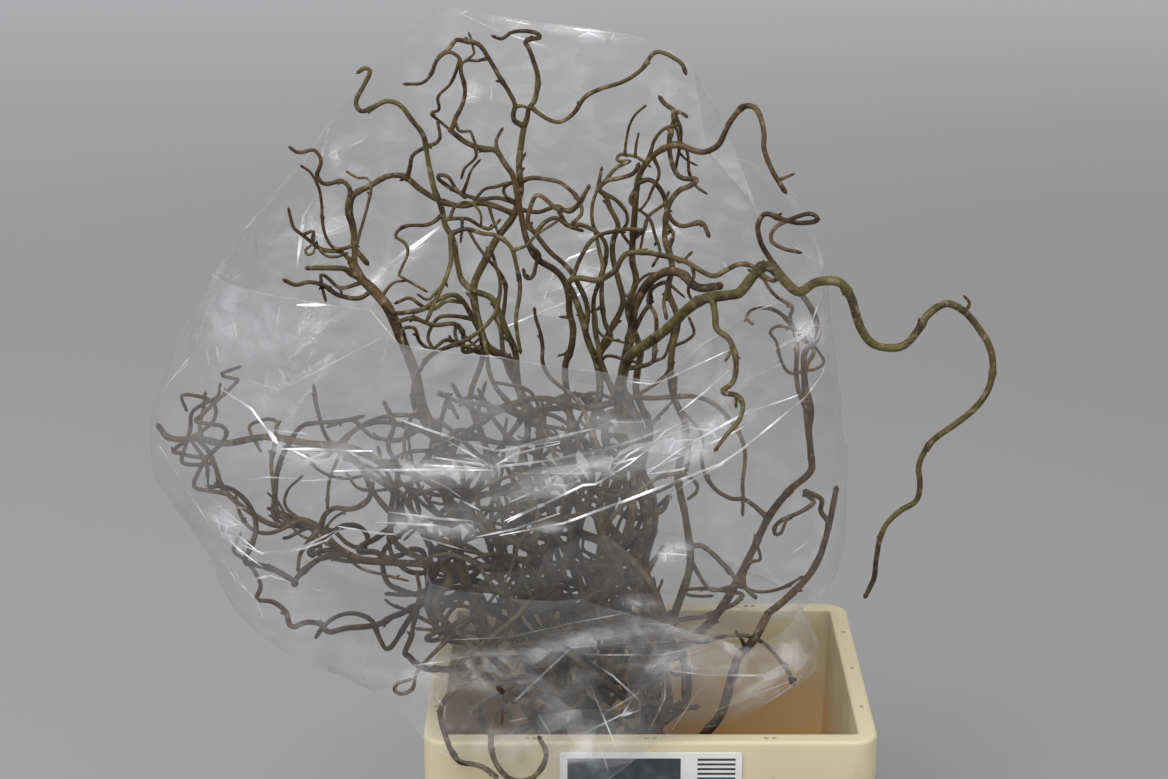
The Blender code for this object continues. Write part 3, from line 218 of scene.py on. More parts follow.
# They show only below this line of the front view, and left of this column, which leans; near the crate they
# stay within this half room. One that loses more than a quarter of its length is left out.
FILLING_TOP = 385
FILLING_RIGHT = (628, 0.22)
FILLING_ROOM = (0.165, 0.115)
LEAST_KEPT = 0.75
# How much painted shade darkens the bark of the filling twigs, deep in the bunch
FILLING_PAINTED_SHADE = 0.55
BARK_BROWN = (0.086, 0.050, 0.024)
BARK_OLIVE = (0.092, 0.079, 0.027)
BARK_DARK = (0.026, 0.015, 0.009)
BARK_PALE = (0.300, 0.230, 0.135)
BARK_PORE = (0.240, 0.210, 0.155)
BUD_BROWN = (0.050, 0.024, 0.013)

# The looks of the crate and the label
ROUND_STEPS = 4
# Where the painted warm light inside the crate starts
INSIDE_X, INSIDE_Y = CRATE_WIDTH / 2 - FLANGE + WALL / 4, CRATE_DEPTH / 2 - FLANGE + WALL / 4
CREAM = (0.540, 0.480, 0.312)
CREAM_WORN = (0.490, 0.425, 0.275)
# Painted warm light inside the crate, for light that bounces in it and shines through its plastic
CREAM_PAINTED_WARM_LIGHT = (0.700, 0.440, 0.190)
SCUFF = (0.400, 0.360, 0.270)
SPECK = (0.120, 0.090, 0.060)
CARD = (0.640, 0.650, 0.640)
CARD_WORN = (0.560, 0.570, 0.560)
INK = (0.030, 0.033, 0.036)
INK_WORN = (0.070, 0.075, 0.080)
PANEL_X, PANEL_Z = (-0.073, 0.026), (CRATE_HEIGHT - 0.060, CRATE_HEIGHT - 0.015)
BLOCK_X, BLOCK_Z = (0.041, 0.074), (CRATE_HEIGHT - 0.060, CRATE_HEIGHT - 0.014)
RULE_PITCH = 0.0046
PRINT_EDGE = 0.0004
RUBBER, RUBBER_DUST = (0.30, 0.17, 0.07), (0.44, 0.30, 0.17)

# The set
FLOOR_SIZE = 60.0
FLOOR_GREY = (0.313, 0.311, 0.318)
FLOOR_LIGHT = (0.328, 0.326, 0.332)
# Painted light far off and painted shade towards the right, for how the light falls on the floor
FLOOR_PAINTED_LIGHT_FAR = (0.474, 0.474, 0.484)
FLOOR_PAINTED_SHADE_RIGHT = (0.276, 0.269, 0.264)
SURROUND, SURROUND_COLOUR = 0.53, (1.0, 1.0, 1.01)
SUN_STRENGTH, SUN_WIDTH, SUN_FROM = 1.75, 35.0, (-0.35, -0.66, 0.86)
STRIPS = [
    ("strip_left", (-1.5, -1.0, 1.3), (0.14, 1.5), 10.0), ("strip_right", (1.3, -1.1, 1.2), (0.12, 1.5), 8.0),
    ("strip_over", (0.1, -0.4, 2.3), (1.2, 0.14), 9.0)]
SENSOR = 36.0

# The front view: the eye's place, its downward tilt, and the pixels that one radian spans at the middle
EYE = np.array([-0.0586, -2.034, CRATE_HEIGHT + 0.971])
EYE_TILT = math.radians(18.9)
PIXELS_PER_RADIAN = 2400.0
VIEW_MIDDLE = (584.0, 389.5)
FORWARD = np.array([0.0, math.cos(EYE_TILT), -math.sin(EYE_TILT)])
UPWARD = np.array([0.0, math.sin(EYE_TILT), math.cos(EYE_TILT)])
RIGHTWARD = np.array([1.0, 0.0, 0.0])

# How green each stem's bark is, from 0, brown, to 1
GREENNESS = {
    "stem_left": 0.35, "stem_low": 0.30, "stem_arch": 0.30, "stem_dark": 0.10, "stem_green": 0.75,
    "stem_wavy": 0.45, "stem_knot": 0.40, "stem_long": 0.70, "stem_thick": 0.25, "stem_cluster": 0.35,
    "stem_upright": 0.45, "stem_curled": 0.55, "stem_side": 0.20, "stem_front": 0.15}

# Small twigs that the part leaves out. Each grows from the nearest stem or twig in the view.
SMALL_TWIGS = [
    [(330, 560), (322, 540), (332, 520), (347, 510)], [(300, 520), (285, 505), (288, 490), (300, 478)],
    [(318, 545), (300, 535), (288, 520), (280, 505), (270, 495)],
    [(335, 560), (360, 568), (385, 575), (405, 580)],
    [(309, 224), (313, 231), (312, 237), (313, 243)],
    [(318, 234), (314, 241), (308, 248), (305, 251), (308, 255), (313, 253), (315, 248)],
    [(320, 249), (325, 255), (332, 257), (340, 256), (345, 254)],
    [(337, 283), (340, 288), (341, 291)],
    [(465, 194), (466, 185), (469, 176), (472, 169), (478, 162)],
    [(522, 165), (524, 156)],
    [(508, 185), (504, 188), (504, 193), (508, 198), (515, 200)],
    [(516, 106), (523, 106), (529, 108)],
    [(456, 123), (458, 129), (461, 132), (470, 131), (473, 138), (476, 146), (476, 153)],
    [(463, 63), (468, 59), (475, 52), (472, 46), (472, 40), (470, 36)],
    [(513, 247), (520, 248), (527, 245), (534, 237), (543, 230), (550, 226), (556, 222)],
    [(491, 308), (495, 317), (499, 326), (501, 335), (509, 341)],
    [(449, 217), (454, 208), (460, 203), (471, 203), (478, 209), (481, 215), (481, 223)],
    [(489, 208), (492, 217), (495, 225), (498, 232)],
    [(461, 218), (462, 228), (461, 239)],
    [(452, 233), (455, 241), (457, 251)],
    [(384, 295), (388, 288), (395, 282), (403, 281)],
    [(458, 323), (455, 331), (456, 338), (461, 345), (471, 345), (480, 338)],
    [(465, 334), (472, 343), (481, 351)],
    [(592, 311), (596, 319), (597, 329), (603, 336), (611, 339), (622, 342)],
    [(602, 306), (596, 310), (590, 312)],
    [(734, 397), (736, 404)],
    [(657, 361), (664, 357), (668, 348), (671, 338), (672, 331)],
    [(677, 283), (682, 295)],
    [(625, 296), (630, 295), (635, 286), (641, 279), (649, 274), (657, 273)],
    [(668, 225), (672, 231), (673, 238), (669, 242), (671, 251), (672, 260), (672, 266)],
    [(656, 157), (658, 167), (659, 176), (656, 183), (652, 190), (648, 200), (642, 208)],
    [(646, 219), (644, 230), (642, 241), (640, 250)],
    [(671, 110), (673, 120), (677, 130), (679, 140), (679, 151), (677, 163)],
    [(683, 153), (688, 161), (694, 164)],
    [(525, 740), (531, 748)],
    [(569, 316), (563, 317)],
    [(565, 352), (561, 355)]]

# Pressed folds of the film as they run in the view, each with its brightness and its width in millimetres.
# The brightness is partly the film's own whitening along the fold, partly a painted highlight.
MAIN_FOLDS = [
    (0.9, 4.5, [(331, 119), (322, 150)]), (0.5, 1.8, [(317, 153), (240, 237), (223, 257)]),
    (0.4, 2.6, [(300, 170), (250, 233)]), (0.8, 3.6, [(305, 213), (297, 263)]),
    (0.5, 2.6, [(255, 233), (257, 277)]), (0.5, 2, [(370, 137), (327, 157)]),
    (0.9, 4, [(212, 277), (230, 268), (237, 282)]), (0.7, 2.2, [(218, 293), (203, 323), (200, 337)]),
    (0.6, 2, [(230, 307), (237, 337)]), (0.5, 2, [(280, 307), (277, 330)]),
    (0.7, 2, [(190, 357), (170, 382), (155, 403)]), (0.8, 3, [(207, 350), (210, 367)]),
    (0.8, 3, [(217, 347), (220, 363)]), (1, 4.5, [(268, 430), (278, 444)]),
    (0.6, 2, [(160, 446), (188, 490), (220, 540), (240, 580), (264, 612)]),
    (0.5, 1.8, [(205, 480), (208, 493)]),
    (0.9, 3, [(217, 503), (220, 530), (240, 550), (263, 567)]), (0.7, 2, [(222, 507), (247, 507)]),
    (0.8, 2.6, [(223, 537), (263, 553), (300, 548), (337, 530)]), (0.6, 2, [(210, 543), (240, 583)]),
    (0.6, 2, [(243, 580), (272, 575), (283, 580)]), (0.8, 3, [(257, 600), (263, 617)]),
    (0.5, 1.6, [(200, 334), (215, 296)]), (0.5, 1.6, [(177, 375), (192, 360)]),
    (0.9, 2.6, [(297, 305), (327, 305)]), (0.9, 2.2, [(220, 388), (252, 409), (279, 446)]),
    (0.5, 1.6, [(220, 384), (242, 379), (279, 390), (295, 383), (381, 338)]),
    (0.6, 1.6, [(392, 334), (373, 411)]), (0.9, 2.6, [(282, 449), (311, 449), (338, 451), (373, 451)]),
    (0.5, 1.8, [(269, 430), (309, 434)]), (0.7, 2, [(290, 449), (327, 467), (338, 478)]),
    (1, 2.4, [(333, 471), (373, 470), (418, 470), (493, 470)]), (0.7, 2.2, [(349, 451), (373, 470)]),
    (0.5, 1.8, [(301, 481), (338, 479), (370, 473)]), (0.5, 1.6, [(239, 481), (268, 477), (301, 479)]),
    (0.6, 2, [(376, 411), (429, 430), (461, 441), (496, 451), (560, 441)]),
    (0.9, 2.4, [(432, 457), (496, 467), (560, 459)]), (0.7, 1.8, [(448, 441), (493, 467)]),
    (0.9, 2.2, [(421, 465), (493, 469)]), (0.9, 2.6, [(389, 512), (434, 518), (472, 521), (475, 533)]),
    (0.9, 2.6, [(376, 522), (434, 525), (472, 533)]), (0.9, 2.6, [(338, 526), (376, 533), (394, 534)]),
    (0.7, 1.8, [(394, 530), (469, 551)]), (0.9, 2.2, [(341, 528), (327, 540), (301, 549), (266, 555)]),
    (1, 2.6, [(218, 513), (231, 529), (258, 551), (263, 555)]), (0.6, 1.6, [(218, 508), (247, 508)]),
    (0.8, 2, [(206, 476), (207, 491)]), (0.7, 2, [(215, 545), (234, 577), (258, 601), (263, 617)]),
    (0.7, 1.8, [(244, 581), (271, 576), (295, 583)]), (0.5, 1.6, [(311, 588), (349, 597)]),
    (0.8, 2.2, [(475, 537), (515, 529), (560, 513)]), (1, 2.4, [(504, 521), (546, 503), (582, 485)]),
    (0.9, 2, [(509, 502), (541, 489), (578, 468)]), (0.8, 2, [(496, 465), (515, 454), (560, 443)]),
    (0.5, 1.6, [(389, 334), (381, 368)]), (0.8, 2.2, [(461, 500), (480, 510)]),
    (0.6, 1.8, [(427, 478), (445, 486), (461, 497)]),
    (0.9, 1.8, [(408, 666), (496, 654), (570, 644), (637, 628), (711, 641), (763, 618), (790, 609)]),
    (0.7, 1.6, [(423, 684), (492, 689), (515, 706), (545, 709), (576, 689), (594, 673)]),
    (0.6, 1.6, [(441, 640), (508, 637), (570, 623), (619, 614), (649, 609)]),
    (0.7, 1.8, [(637, 623), (668, 624), (711, 643)]),
    (0.9, 1.8, [(624, 381), (651, 384), (665, 380), (697, 365), (729, 350)]),
    (0.9, 1.6, [(679, 412), (707, 390), (729, 370)]), (0.6, 1.6, [(649, 448), (665, 431), (691, 418)]),
    (0.6, 1.8, [(599, 427), (610, 422), (642, 422)]), (0.5, 3.2, [(500, 452), (534, 443), (592, 429)]),
    (0.5, 3, [(500, 461), (546, 461), (603, 450), (642, 438), (688, 418)]),
    (1, 2, [(603, 457), (615, 464), (638, 457)]),
    (0.7, 1.8, [(599, 482), (629, 454), (661, 438), (691, 427)]),
    (1, 2.2, [(647, 473), (679, 450), (716, 429), (741, 415), (798, 395)]),
    (0.8, 2, [(647, 470), (679, 457), (716, 441), (743, 427)]),
    (0.8, 1.8, [(647, 474), (679, 470), (720, 458)]),
    (1, 2.6, [(500, 535), (564, 523), (619, 503), (679, 480), (720, 464), (741, 450), (775, 422),
                (805, 397), (821, 376), (824, 367)]),
    (1, 2.2, [(507, 522), (546, 503), (583, 485), (596, 484), (629, 464), (647, 450)]),
    (0.8, 1.8, [(723, 464), (688, 482), (670, 496), (668, 511)]), (0.7, 1.8, [(658, 553), (688, 555)]),
    (0.5, 2, [(771, 574), (792, 553), (812, 539)]),
    (0.4, 1.4, [(840, 409), (842, 454), (849, 521), (844, 551)]), (1, 2.8, [(775, 349), (808, 333)]),
    (0.9, 2.2, [(782, 324), (808, 333)]), (0.9, 2, [(821, 294), (808, 333)]),
    (1, 2.6, [(817, 321), (808, 333), (796, 342)]), (0.7, 1.6, [(695, 340), (693, 367)]),
    (0.7, 1.6, [(695, 340), (702, 356)]), (0.6, 1.6, [(695, 340), (675, 363)]),
    (0.9, 1.8, [(500, 329), (569, 301), (594, 285)]), (0.4, 2.4, [(743, 381), (785, 363)]),
    (0.4, 1.2, [(709, 152), (709, 235), (724, 262)]), (0.9, 2, [(724, 262), (736, 290)]),
    (0.6, 1.4, [(788, 233), (811, 258)]), (0.9, 1.8, [(820, 261), (811, 258), (804, 262)]),
    (0.8, 1.8, [(793, 245), (811, 258)]), (0.6, 1.4, [(771, 198), (779, 203), (784, 210)]),
    (0.7, 2.4, [(638, 233), (706, 224)]),
    (0.9, 2.2, [(462, 13), (491, 3), (491, 12), (514, 17), (526, 18), (588, 31), (637, 35)]),
    (0.9, 2, [(506, 20), (532, 25), (573, 29), (637, 36)]), (0.6, 1.4, [(435, 0), (459, 13), (500, 32)]),
    (0.8, 2.2, [(511, 35), (549, 48)]), (0.6, 2.4, [(473, 85), (469, 101)]),
    (0.5, 1.6, [(492, 76), (491, 103)]),
    (0.5, 1.4, [(330, 117), (321, 147), (291, 176), (247, 226), (224, 249)]),
    (0.9, 2.4, [(328, 120), (330, 129), (319, 164)]), (0.4, 3, [(344, 152), (391, 123)]),
    (0.7, 1.8, [(321, 188), (303, 217), (297, 258)]), (0.8, 1.8, [(297, 226), (300, 241), (297, 270)]),
    (0.5, 1.4, [(256, 235), (257, 285)]), (0.9, 2.2, [(224, 264), (218, 276), (227, 282)]),
    (0.6, 1.6, [(218, 276), (259, 283)]), (1, 5, [(368, 287), (403, 255), (441, 226)]),
    (0.9, 2.6, [(544, 299), (555, 270), (570, 258), (602, 246)]),
    (0.4, 1.4, [(332, 103), (268, 188), (224, 249)])]
LOWER_FOLDS = [
    (0.9, 2, [(515, 701), (570, 649)]), (0.7, 1.6, [(564, 652), (600, 655), (662, 655), (717, 643)]),
    (0.8, 1.8, [(591, 661), (613, 676), (640, 701), (640, 728)]), (0.9, 1.6, [(588, 680), (616, 747)]),
    (0.8, 1.8, [(582, 728), (603, 753), (608, 771)]), (1, 2.4, [(631, 701), (622, 716), (640, 710)]),
    (0.9, 1.6, [(668, 670), (704, 675), (802, 676)]), (0.7, 1.6, [(665, 673), (665, 698), (649, 731)]),
    (1, 1.8, [(711, 712), (790, 681)]), (0.7, 1.4, [(671, 731), (704, 683)]),
    (0.9, 2.2, [(790, 612), (799, 640)]), (0.8, 2, [(432, 689), (443, 707)]),
    (0.7, 1.6, [(493, 747), (518, 728)]), (0.8, 1.8, [(539, 716), (551, 735), (539, 742)]),
    (0.8, 1.8, [(507, 722), (527, 718)]), (0.7, 1.6, [(573, 739), (643, 704)]),
    (0.6, 1.6, [(600, 716), (640, 692)])]

# Areas of the film made milky and white: partly milky double layers, partly painted shine and highlights.
# Each gives which side faces the eye there (1 outer, -1 inner), the middle and the two half sizes in the
# view, the tilt in degrees and the strength
SHEENS = [
    (1, 262, 330, 40, 30, 20, 0.10), (1, 258, 400, 34, 16, 30, 0.06), (1, 430, 470, 70, 12, 0, 0.35),
    (1, 300, 455, 46, 12, 0, 0.30), (1, 430, 525, 50, 10, 6, 0.40), (1, 232, 525, 22, 12, 50, 0.35),
    (1, 590, 470, 90, 16, -20, 0.35), (1, 700, 440, 60, 18, -30, 0.30), (1, 674, 553, 15, 9, 0, 0.75),
    (1, 640, 602, 13, 6, 0, 0.60), (1, 546, 530, 16, 5, -10, 0.36), (1, 806, 333, 15, 11, -30, 0.60),
    (1, 610, 425, 40, 14, -10, 0.22), (1, 750, 240, 10, 40, 8, 0.35), (1, 735, 190, 26, 34, 0, 0.20),
    (1, 752, 198, 6, 11, 0, 0.40), (1, 779, 204, 9, 5, 20, 0.55), (1, 811, 257, 10, 7, 30, 0.65),
    (-1, 334, 156, 5, 8, 0, 0.80), (-1, 315, 212, 5, 9, 30, 0.60), (-1, 320, 240, 24, 34, 30, 0.22),
    (-1, 400, 262, 40, 7, -38, 0.60), (-1, 575, 285, 40, 14, -30, 0.30), (-1, 470, 94, 8, 10, 0, 0.45),
    (-1, 560, 29, 60, 5, 8, 0.50), (-1, 640, 232, 60, 5, -4, 0.40), (-1, 230, 272, 14, 8, 10, 0.55),
    (1, 300, 610, 60, 24, 40, 0.15), (1, 500, 662, 110, 12, -6, 0.16), (1, 600, 640, 60, 9, -10, 0.24),
    (1, 690, 632, 50, 10, 12, 0.26), (1, 450, 680, 60, 8, 6, 0.28), (1, 730, 560, 40, 30, 0, 0.10),
    (-1, 275, 215, 34, 50, -40, 0.12),
    (-1, 340, 150, 36, 30, 0, 0.10), (1, 225, 310, 18, 40, 0, 0.10), (1, 232, 532, 30, 14, 50, 0.25),
    (1, 690, 345, 16, 12, 0, 0.35), (1, 560, 700, 40, 30, 20, 0.12), (1, 700, 660, 60, 16, -6, 0.25),
    (1, 790, 650, 26, 26, 0, 0.16), (1, 760, 690, 42, 22, -30, 0.22), (1, 480, 740, 50, 16, 10, 0.14),
    (1, 600, 745, 36, 18, -20, 0.28)]


def seen(across, down, depth):
    """The point seen at a pixel of the front view, depth metres behind the crate's middle."""
    ray = (
        FORWARD
        + RIGHTWARD * (across - VIEW_MIDDLE[0]) / PIXELS_PER_RADIAN
        + UPWARD * (VIEW_MIDDLE[1] - down) / PIXELS_PER_RADIAN
    )
    return EYE + ray * (depth - EYE[1]) / ray[1]


def pixel_of(points):
    """Where points of the model lie in the front view."""
    away = points - EYE
    reach = away @ FORWARD
    return np.stack(
        [
            VIEW_MIDDLE[0] + PIXELS_PER_RADIAN * (away @ RIGHTWARD) / reach,
            VIEW_MIDDLE[1] - PIXELS_PER_RADIAN * (away @ UPWARD) / reach,
        ],
        axis=1,
    )


def placed(route, first_depth=None):
    """A route's points in space. A place with no depth of its own takes one between its neighbours'."""
    known = [(i, place[2] / 1000) for i, place in enumerate(route) if len(place) == 3]
    if first_depth is not None:
        known = [(0, first_depth)] + [pair for pair in known if pair[0] > 0]
    depths = np.interp(range(len(route)), *zip(*known))
    return np.array([seen(place[0], place[1], d) for place, d in zip(route, depths)])


def smooth_curve(knots):
    """Points STEP apart along a centripetal curve through the knots."""
    ends = np.vstack([2 * knots[0] - knots[1], knots, 2 * knots[-1] - knots[-2]])
    made = []
    for a, b, c, d in zip(ends, ends[1:], ends[2:], ends[3:]):
        t1 = np.linalg.norm(b - a) ** 0.5
        t2 = t1 + np.linalg.norm(c - b) ** 0.5
        t3 = t2 + np.linalg.norm(d - c) ** 0.5
        t = np.linspace(t1, t2, 12, endpoint=False)[:, None]
        ab = (t1 - t) / t1 * a + t / t1 * b
        bc = (t2 - t) / (t2 - t1) * b + (t - t1) / (t2 - t1) * c
        cd = (t3 - t) / (t3 - t2) * c + (t - t2) / (t3 - t2) * d
        abc = (t2 - t) / t2 * ab + t / t2 * bc
        bcd = (t3 - t) / (t3 - t1) * bc + (t - t1) / (t3 - t1) * cd
        made.append((t2 - t) / (t2 - t1) * abc + (t - t1) / (t2 - t1) * bcd)
    made = np.vstack(made + [knots[-1:]])
    along = np.concatenate([[0], np.cumsum(np.linalg.norm(np.diff(made, axis=0), axis=1))])
    count = max(3, round(along[-1] / STEP) + 1)
    spread = np.linspace(0, along[-1], count)
    return np.stack([np.interp(spread, along, made[:, k]) for k in range(3)], axis=1)


def foot_at(slot):
    """Where a stem of the tied bunch stands, in rows that nest like honeycomb."""
    return (FOOT_CENTRE[0] + slot[0] * FOOT_PITCH, FOOT_CENTRE[1] + slot[1] * FOOT_PITCH * math.sqrt(3) / 2)


class Bunch:
    """The centre lines of all stems and twigs, with a radius at each point."""

    def __init__(self):
        self.lines = []

    def add(self, node, points, widths, parent=None, joint=0, sides=WITHIN):
        share = np.linspace(0, 1, len(points))
        radii = np.interp(share, np.linspace(0, 1, len(widths)), widths) / 2000
        if parent is not None:
            radii = np.minimum(radii, 0.85 * self.lines[parent]["radii"][joint])
        self.lines.append({
            "node": node, "points": points, "radii": radii, "parent": parent, "joint": joint, "sides": sides})
        return len(self.lines) - 1

    def stem(self, node, foot, widths, route, sides=WITHIN):
        """A stem that stands on the crate's floor, goes up through the tie, and on along its route."""
        heights = (FLOOR_TOP + SEAT_GAP, 0.05, 0.10, STRAIGHT_TO)
        upright = np.array([[foot[0], foot[1], z] for z in heights])
        return self.add(node, smooth_curve(np.vstack([upright, placed(route)])), widths, sides=sides)

    def twig(self, parent, widths, route, sides=WITHIN):
        """A twig that grows from the place on its parent nearest to its route's first place."""
        line = self.lines[parent]
        joint = int(np.argmin(np.linalg.norm(pixel_of(line["points"]) - route[0][:2], axis=1)))
        root = line["points"][joint]
        knots = np.vstack([root, placed(route, root[1])[1:]])
        return self.add(line["node"], smooth_curve(knots), widths, parent, joint, sides)

    def curl(self, parent, height, length, heading, widths, bag, draw):
        """A corkscrew side twig of seeded shape, from where its parent first reaches a height."""
        line = self.lines[parent]
        joint = int(np.argmax(line["points"][:, 2] > height))
        outward = Vector(heading).normalized()
        heading, axis = outward.copy(), outward.orthogonal().normalized()
        place = Vector(line["points"][joint])
        knots = [place.copy()]
        for _ in range(round(length / CURL_STEP)):
            wander = Vector((draw.gauss(0, 1), draw.gauss(0, 1), draw.gauss(0, 1)))
            axis = (axis + CURL_WANDER * wander).normalized()
            heading = heading + CURL_TURN * axis.cross(heading) + CURL_OUTWARD * outward
            heading = (heading + Vector((0, 0, CURL_RISE))).normalized()
            _, normal, _, gap = bag.find_nearest(place)
            if gap < CURL_ROOM:
                heading = (heading - 1.2 * normal).normalized()
            place = place + heading * CURL_STEP
            knots.append(place.copy())
        return self.add(line["node"], smooth_curve(np.array(knots)), widths, parent, joint)


def stem_left(bunch):
    main = bunch.stem("stem_left", foot_at((-2, 0)), (12, 10.6, 9, 8.2, 7.6), [
        (548, 745, -10), (522, 700), (498, 660), (480, 615), (462, 570), (455, 530, -30), (446, 490),
        (440, 450), (424, 410), (414, 370), (400, 335, -50), (388, 308), (374, 291), (360, 277),
        (352, 262, -40)])
    low = bunch.twig(main, (6.4, 6, 4.4), [
        (446, 490), (420, 476), (390, 466), (350, 448, -60), (310, 444), (270, 437), (230, 440), (200, 438),
        (185, 439), (170, 438), (160, 433), (153, 425, -40)])
    bunch.twig(low, (3.6, 2.8), [(204, 438), (200, 424), (203, 410), (205, 395, -20)])
    bunch.twig(main, (3.4, 3, 2.4), [
        (352, 262), (341, 252), (331, 251), (321, 249), (314, 244), (301, 234), (294, 228), (291, 220),
        (289, 211, -70)])
    top = bunch.twig(main, (4.4, 3.6, 2.6), [
        (355, 269), (354, 240), (352, 226), (347, 210), (350, 191), (347, 184), (339, 181), (332, 183),
        (324, 184), (317, 176), (319, 169), (321, 160), (314, 150), (307, 151), (299, 153), (292, 149, -60)])
    bunch.twig(top, (2.8, 2.2), [
        (353, 243), (336, 249), (326, 237), (322, 217), (322, 207), (319, 189), (311, 173), (303, 167, -80)])
    bunch.twig(main, (2.8, 2), [
        (352, 262), (358, 240), (360, 232), (367, 208), (371, 183), (366, 178), (358, 178), (349, 173, -10)])
    bunch.twig(main, (4.6, 4), [(360, 277), (351, 274), (345, 269), (334, 268), (322, 268), (309, 268, -70)])
    bunch.twig(main, (3.8, 3.2), [
        (374, 291), (360, 298), (338, 295), (323, 285), (308, 282), (296, 285), (286, 281, -75)])
    bunch.twig(main, (3.2, 2.4), [(352, 292), (340, 288), (330, 280), (321, 274), (322, 286),
        (325, 298, -60)])
    return main


def stem_low(bunch):
    main = bunch.stem("stem_low", foot_at((-1.5, -1)), (12, 10.6, 8, 6.4, 5, 3.6), [
        (560, 745, -25), (528, 705), (492, 668), (455, 632, -60), (420, 600), (390, 570), (360, 560, -85),
        (335, 545), (320, 528), (300, 520), (285, 525), (270, 524), (250, 512), (234, 500), (220, 484),
        (217, 472), (208, 450), (198, 440, -60)])
    bunch.twig(main, (3.6, 2.6), [(300, 520), (275, 532), (262, 533), (250, 528), (240, 514),
        (236, 498, -100)])
    bunch.twig(main, (5.4, 4), [(320, 528), (325, 515), (335, 508), (352, 509), (368, 500), (372, 484, -120)])
    bunch.twig(main, (4.4, 3), [(320, 528), (310, 540), (300, 555), (298, 568, -100)])
    bunch.twig(main, (5, 3.4), [
        (390, 572), (385, 540), (389, 510), (394, 488), (398, 468), (388, 446), (394, 424), (385, 404, -120)])
    bunch.twig(main, (4.6, 3), [
        (455, 632), (430, 640), (408, 632), (392, 612), (372, 604), (350, 612), (332, 600), (318, 606, -60)])
    bunch.twig(main, (5, 4.4, 4), [
        (492, 668), (462, 684, -85), (443, 703, -125), (441, 718, -160), (446, 735, -172), (451, 750),
        (460, 762),
        (472, 764), (483, 767), (495, 776, -174)], FREE)
    bunch.twig(main, (5, 4.6, 4), [
        (528, 705), (508, 700, -80), (494, 718, -140), (492, 735, -168), (492, 750), (497, 765), (512, 780),
        (530, 779), (543, 766), (546, 750), (540, 738, -172)], FREE)
    bunch.twig(main, (3.6, 3), [
        (455, 632), (432, 655, -88), (416, 674, -112), (412, 689), (401, 693), (393, 688), (395, 680),
        (406, 677, -118)], FREE)
    return main


def stem_arch(bunch):
    main = bunch.stem("stem_arch", foot_at((-0.5, 1)), (12, 11, 9, 7.5, 6.8, 6, 4.6), [
        (590, 745, 10), (576, 700), (558, 655), (564, 610), (548, 560), (552, 515), (537, 470), (540, 430),
        (520, 392), (507, 358, 10), (497, 353), (487, 346), (481, 331), (475, 306), (474, 285), (485, 261),
        (498, 237), (514, 215), (519, 199), (521, 187), (519, 164), (522, 140), (524, 126, 15)])
    arch = bunch.twig(main, (6.8, 6.2, 5.2, 4.6), [
        (514, 214), (500, 208), (482, 203), (462, 206), (441, 201), (420, 189), (411, 181), (403, 176),
        (388, 176), (370, 186), (354, 195), (350, 210), (354, 229), (354, 246), (366, 262, -20)])
    bunch.twig(arch, (3.6, 2.6), [
        (408, 178), (410, 167), (413, 155), (428, 146), (436, 143), (440, 137), (438, 124, -40)])
    left = bunch.twig(main, (3.8, 3.4), [(524, 128), (515, 121), (513, 115), (515, 105), (509, 92), (499, 76),
        (488, 57), (478, 44), (464, 41), (456, 40), (449, 49), (440, 56, -20)])
    bunch.twig(left, (2.6, 2), [(488, 57), (474, 61), (467, 60), (460, 66, -10)])
    right = bunch.twig(main, (4.4, 3.6, 2.6), [
        (524, 128), (527, 119), (529, 108), (534, 102), (538, 81), (536, 69), (529, 49), (525, 41), (532, 39),
        (541, 37), (536, 33), (518, 31), (508, 34), (503, 39), (495, 37, -10)])
    bunch.twig(right, (4.2, 4, 3.4), [
        (529, 108), (538, 113), (558, 122), (573, 114), (585, 97), (600, 89), (622, 82), (633, 76), (643, 68),
        (650, 57), (656, 52), (664, 53), (674, 58), (682, 64), (685, 71, -20)])
    bunch.twig(main, (3.6, 3), [
        (521, 184), (531, 178), (551, 180), (561, 183), (576, 196), (582, 212), (574, 222, -30)])
    bunch.twig(main, (3.2, 2.6), [(520, 182), (505, 184), (495, 187), (485, 189), (476, 198, 0)])
    bunch.twig(main, (3.4, 3), [
        (517, 203), (498, 198), (479, 199), (460, 193), (442, 182), (437, 176), (447, 176), (456, 189),
        (463, 196, 0)])
    bunch.twig(main, (3.6, 2.8), [
        (520, 212), (538, 212), (548, 209), (558, 206), (568, 212), (580, 204), (586, 192, -20)])
    return main


def stem_dark(bunch):
    main = bunch.stem("stem_dark", foot_at((0.5, 1)), (12, 10.6, 8, 6, 5.4, 5, 4), [
        (612, 745, 25), (606, 700), (588, 655), (590, 610), (572, 560), (580, 515), (566, 470), (570, 420),
        (565, 366, 25), (571, 349), (573, 329), (569, 310), (569, 298), (563, 279), (555, 270), (538, 259),
        (527, 241), (523, 224), (518, 200), (513, 176), (505, 164), (495, 150), (485, 149), (467, 143),
        (451, 131, -20)])
    hook = bunch.twig(main, (3.6, 3, 2.4), [
        (452, 132), (456, 117), (463, 103), (465, 89), (461, 71), (460, 59), (449, 52), (437, 60), (431, 74),
        (422, 83), (407, 84, -30)])
    bunch.twig(hook, (2.8, 2.2), [
        (460, 62), (451, 83), (438, 97), (439, 110), (431, 113), (442, 123), (450, 130, 10)])
    bunch.twig(main, (2.6, 2), [(476, 148), (476, 157), (465, 168), (462, 176, -10)])
    bunch.twig(main, (3, 2.4), [(500, 156), (496, 142), (501, 131, 0)])
    bunch.twig(main, (3.8, 3), [
        (530, 246), (540, 256), (536, 264), (533, 276), (527, 279), (524, 272, 0)])
    return main


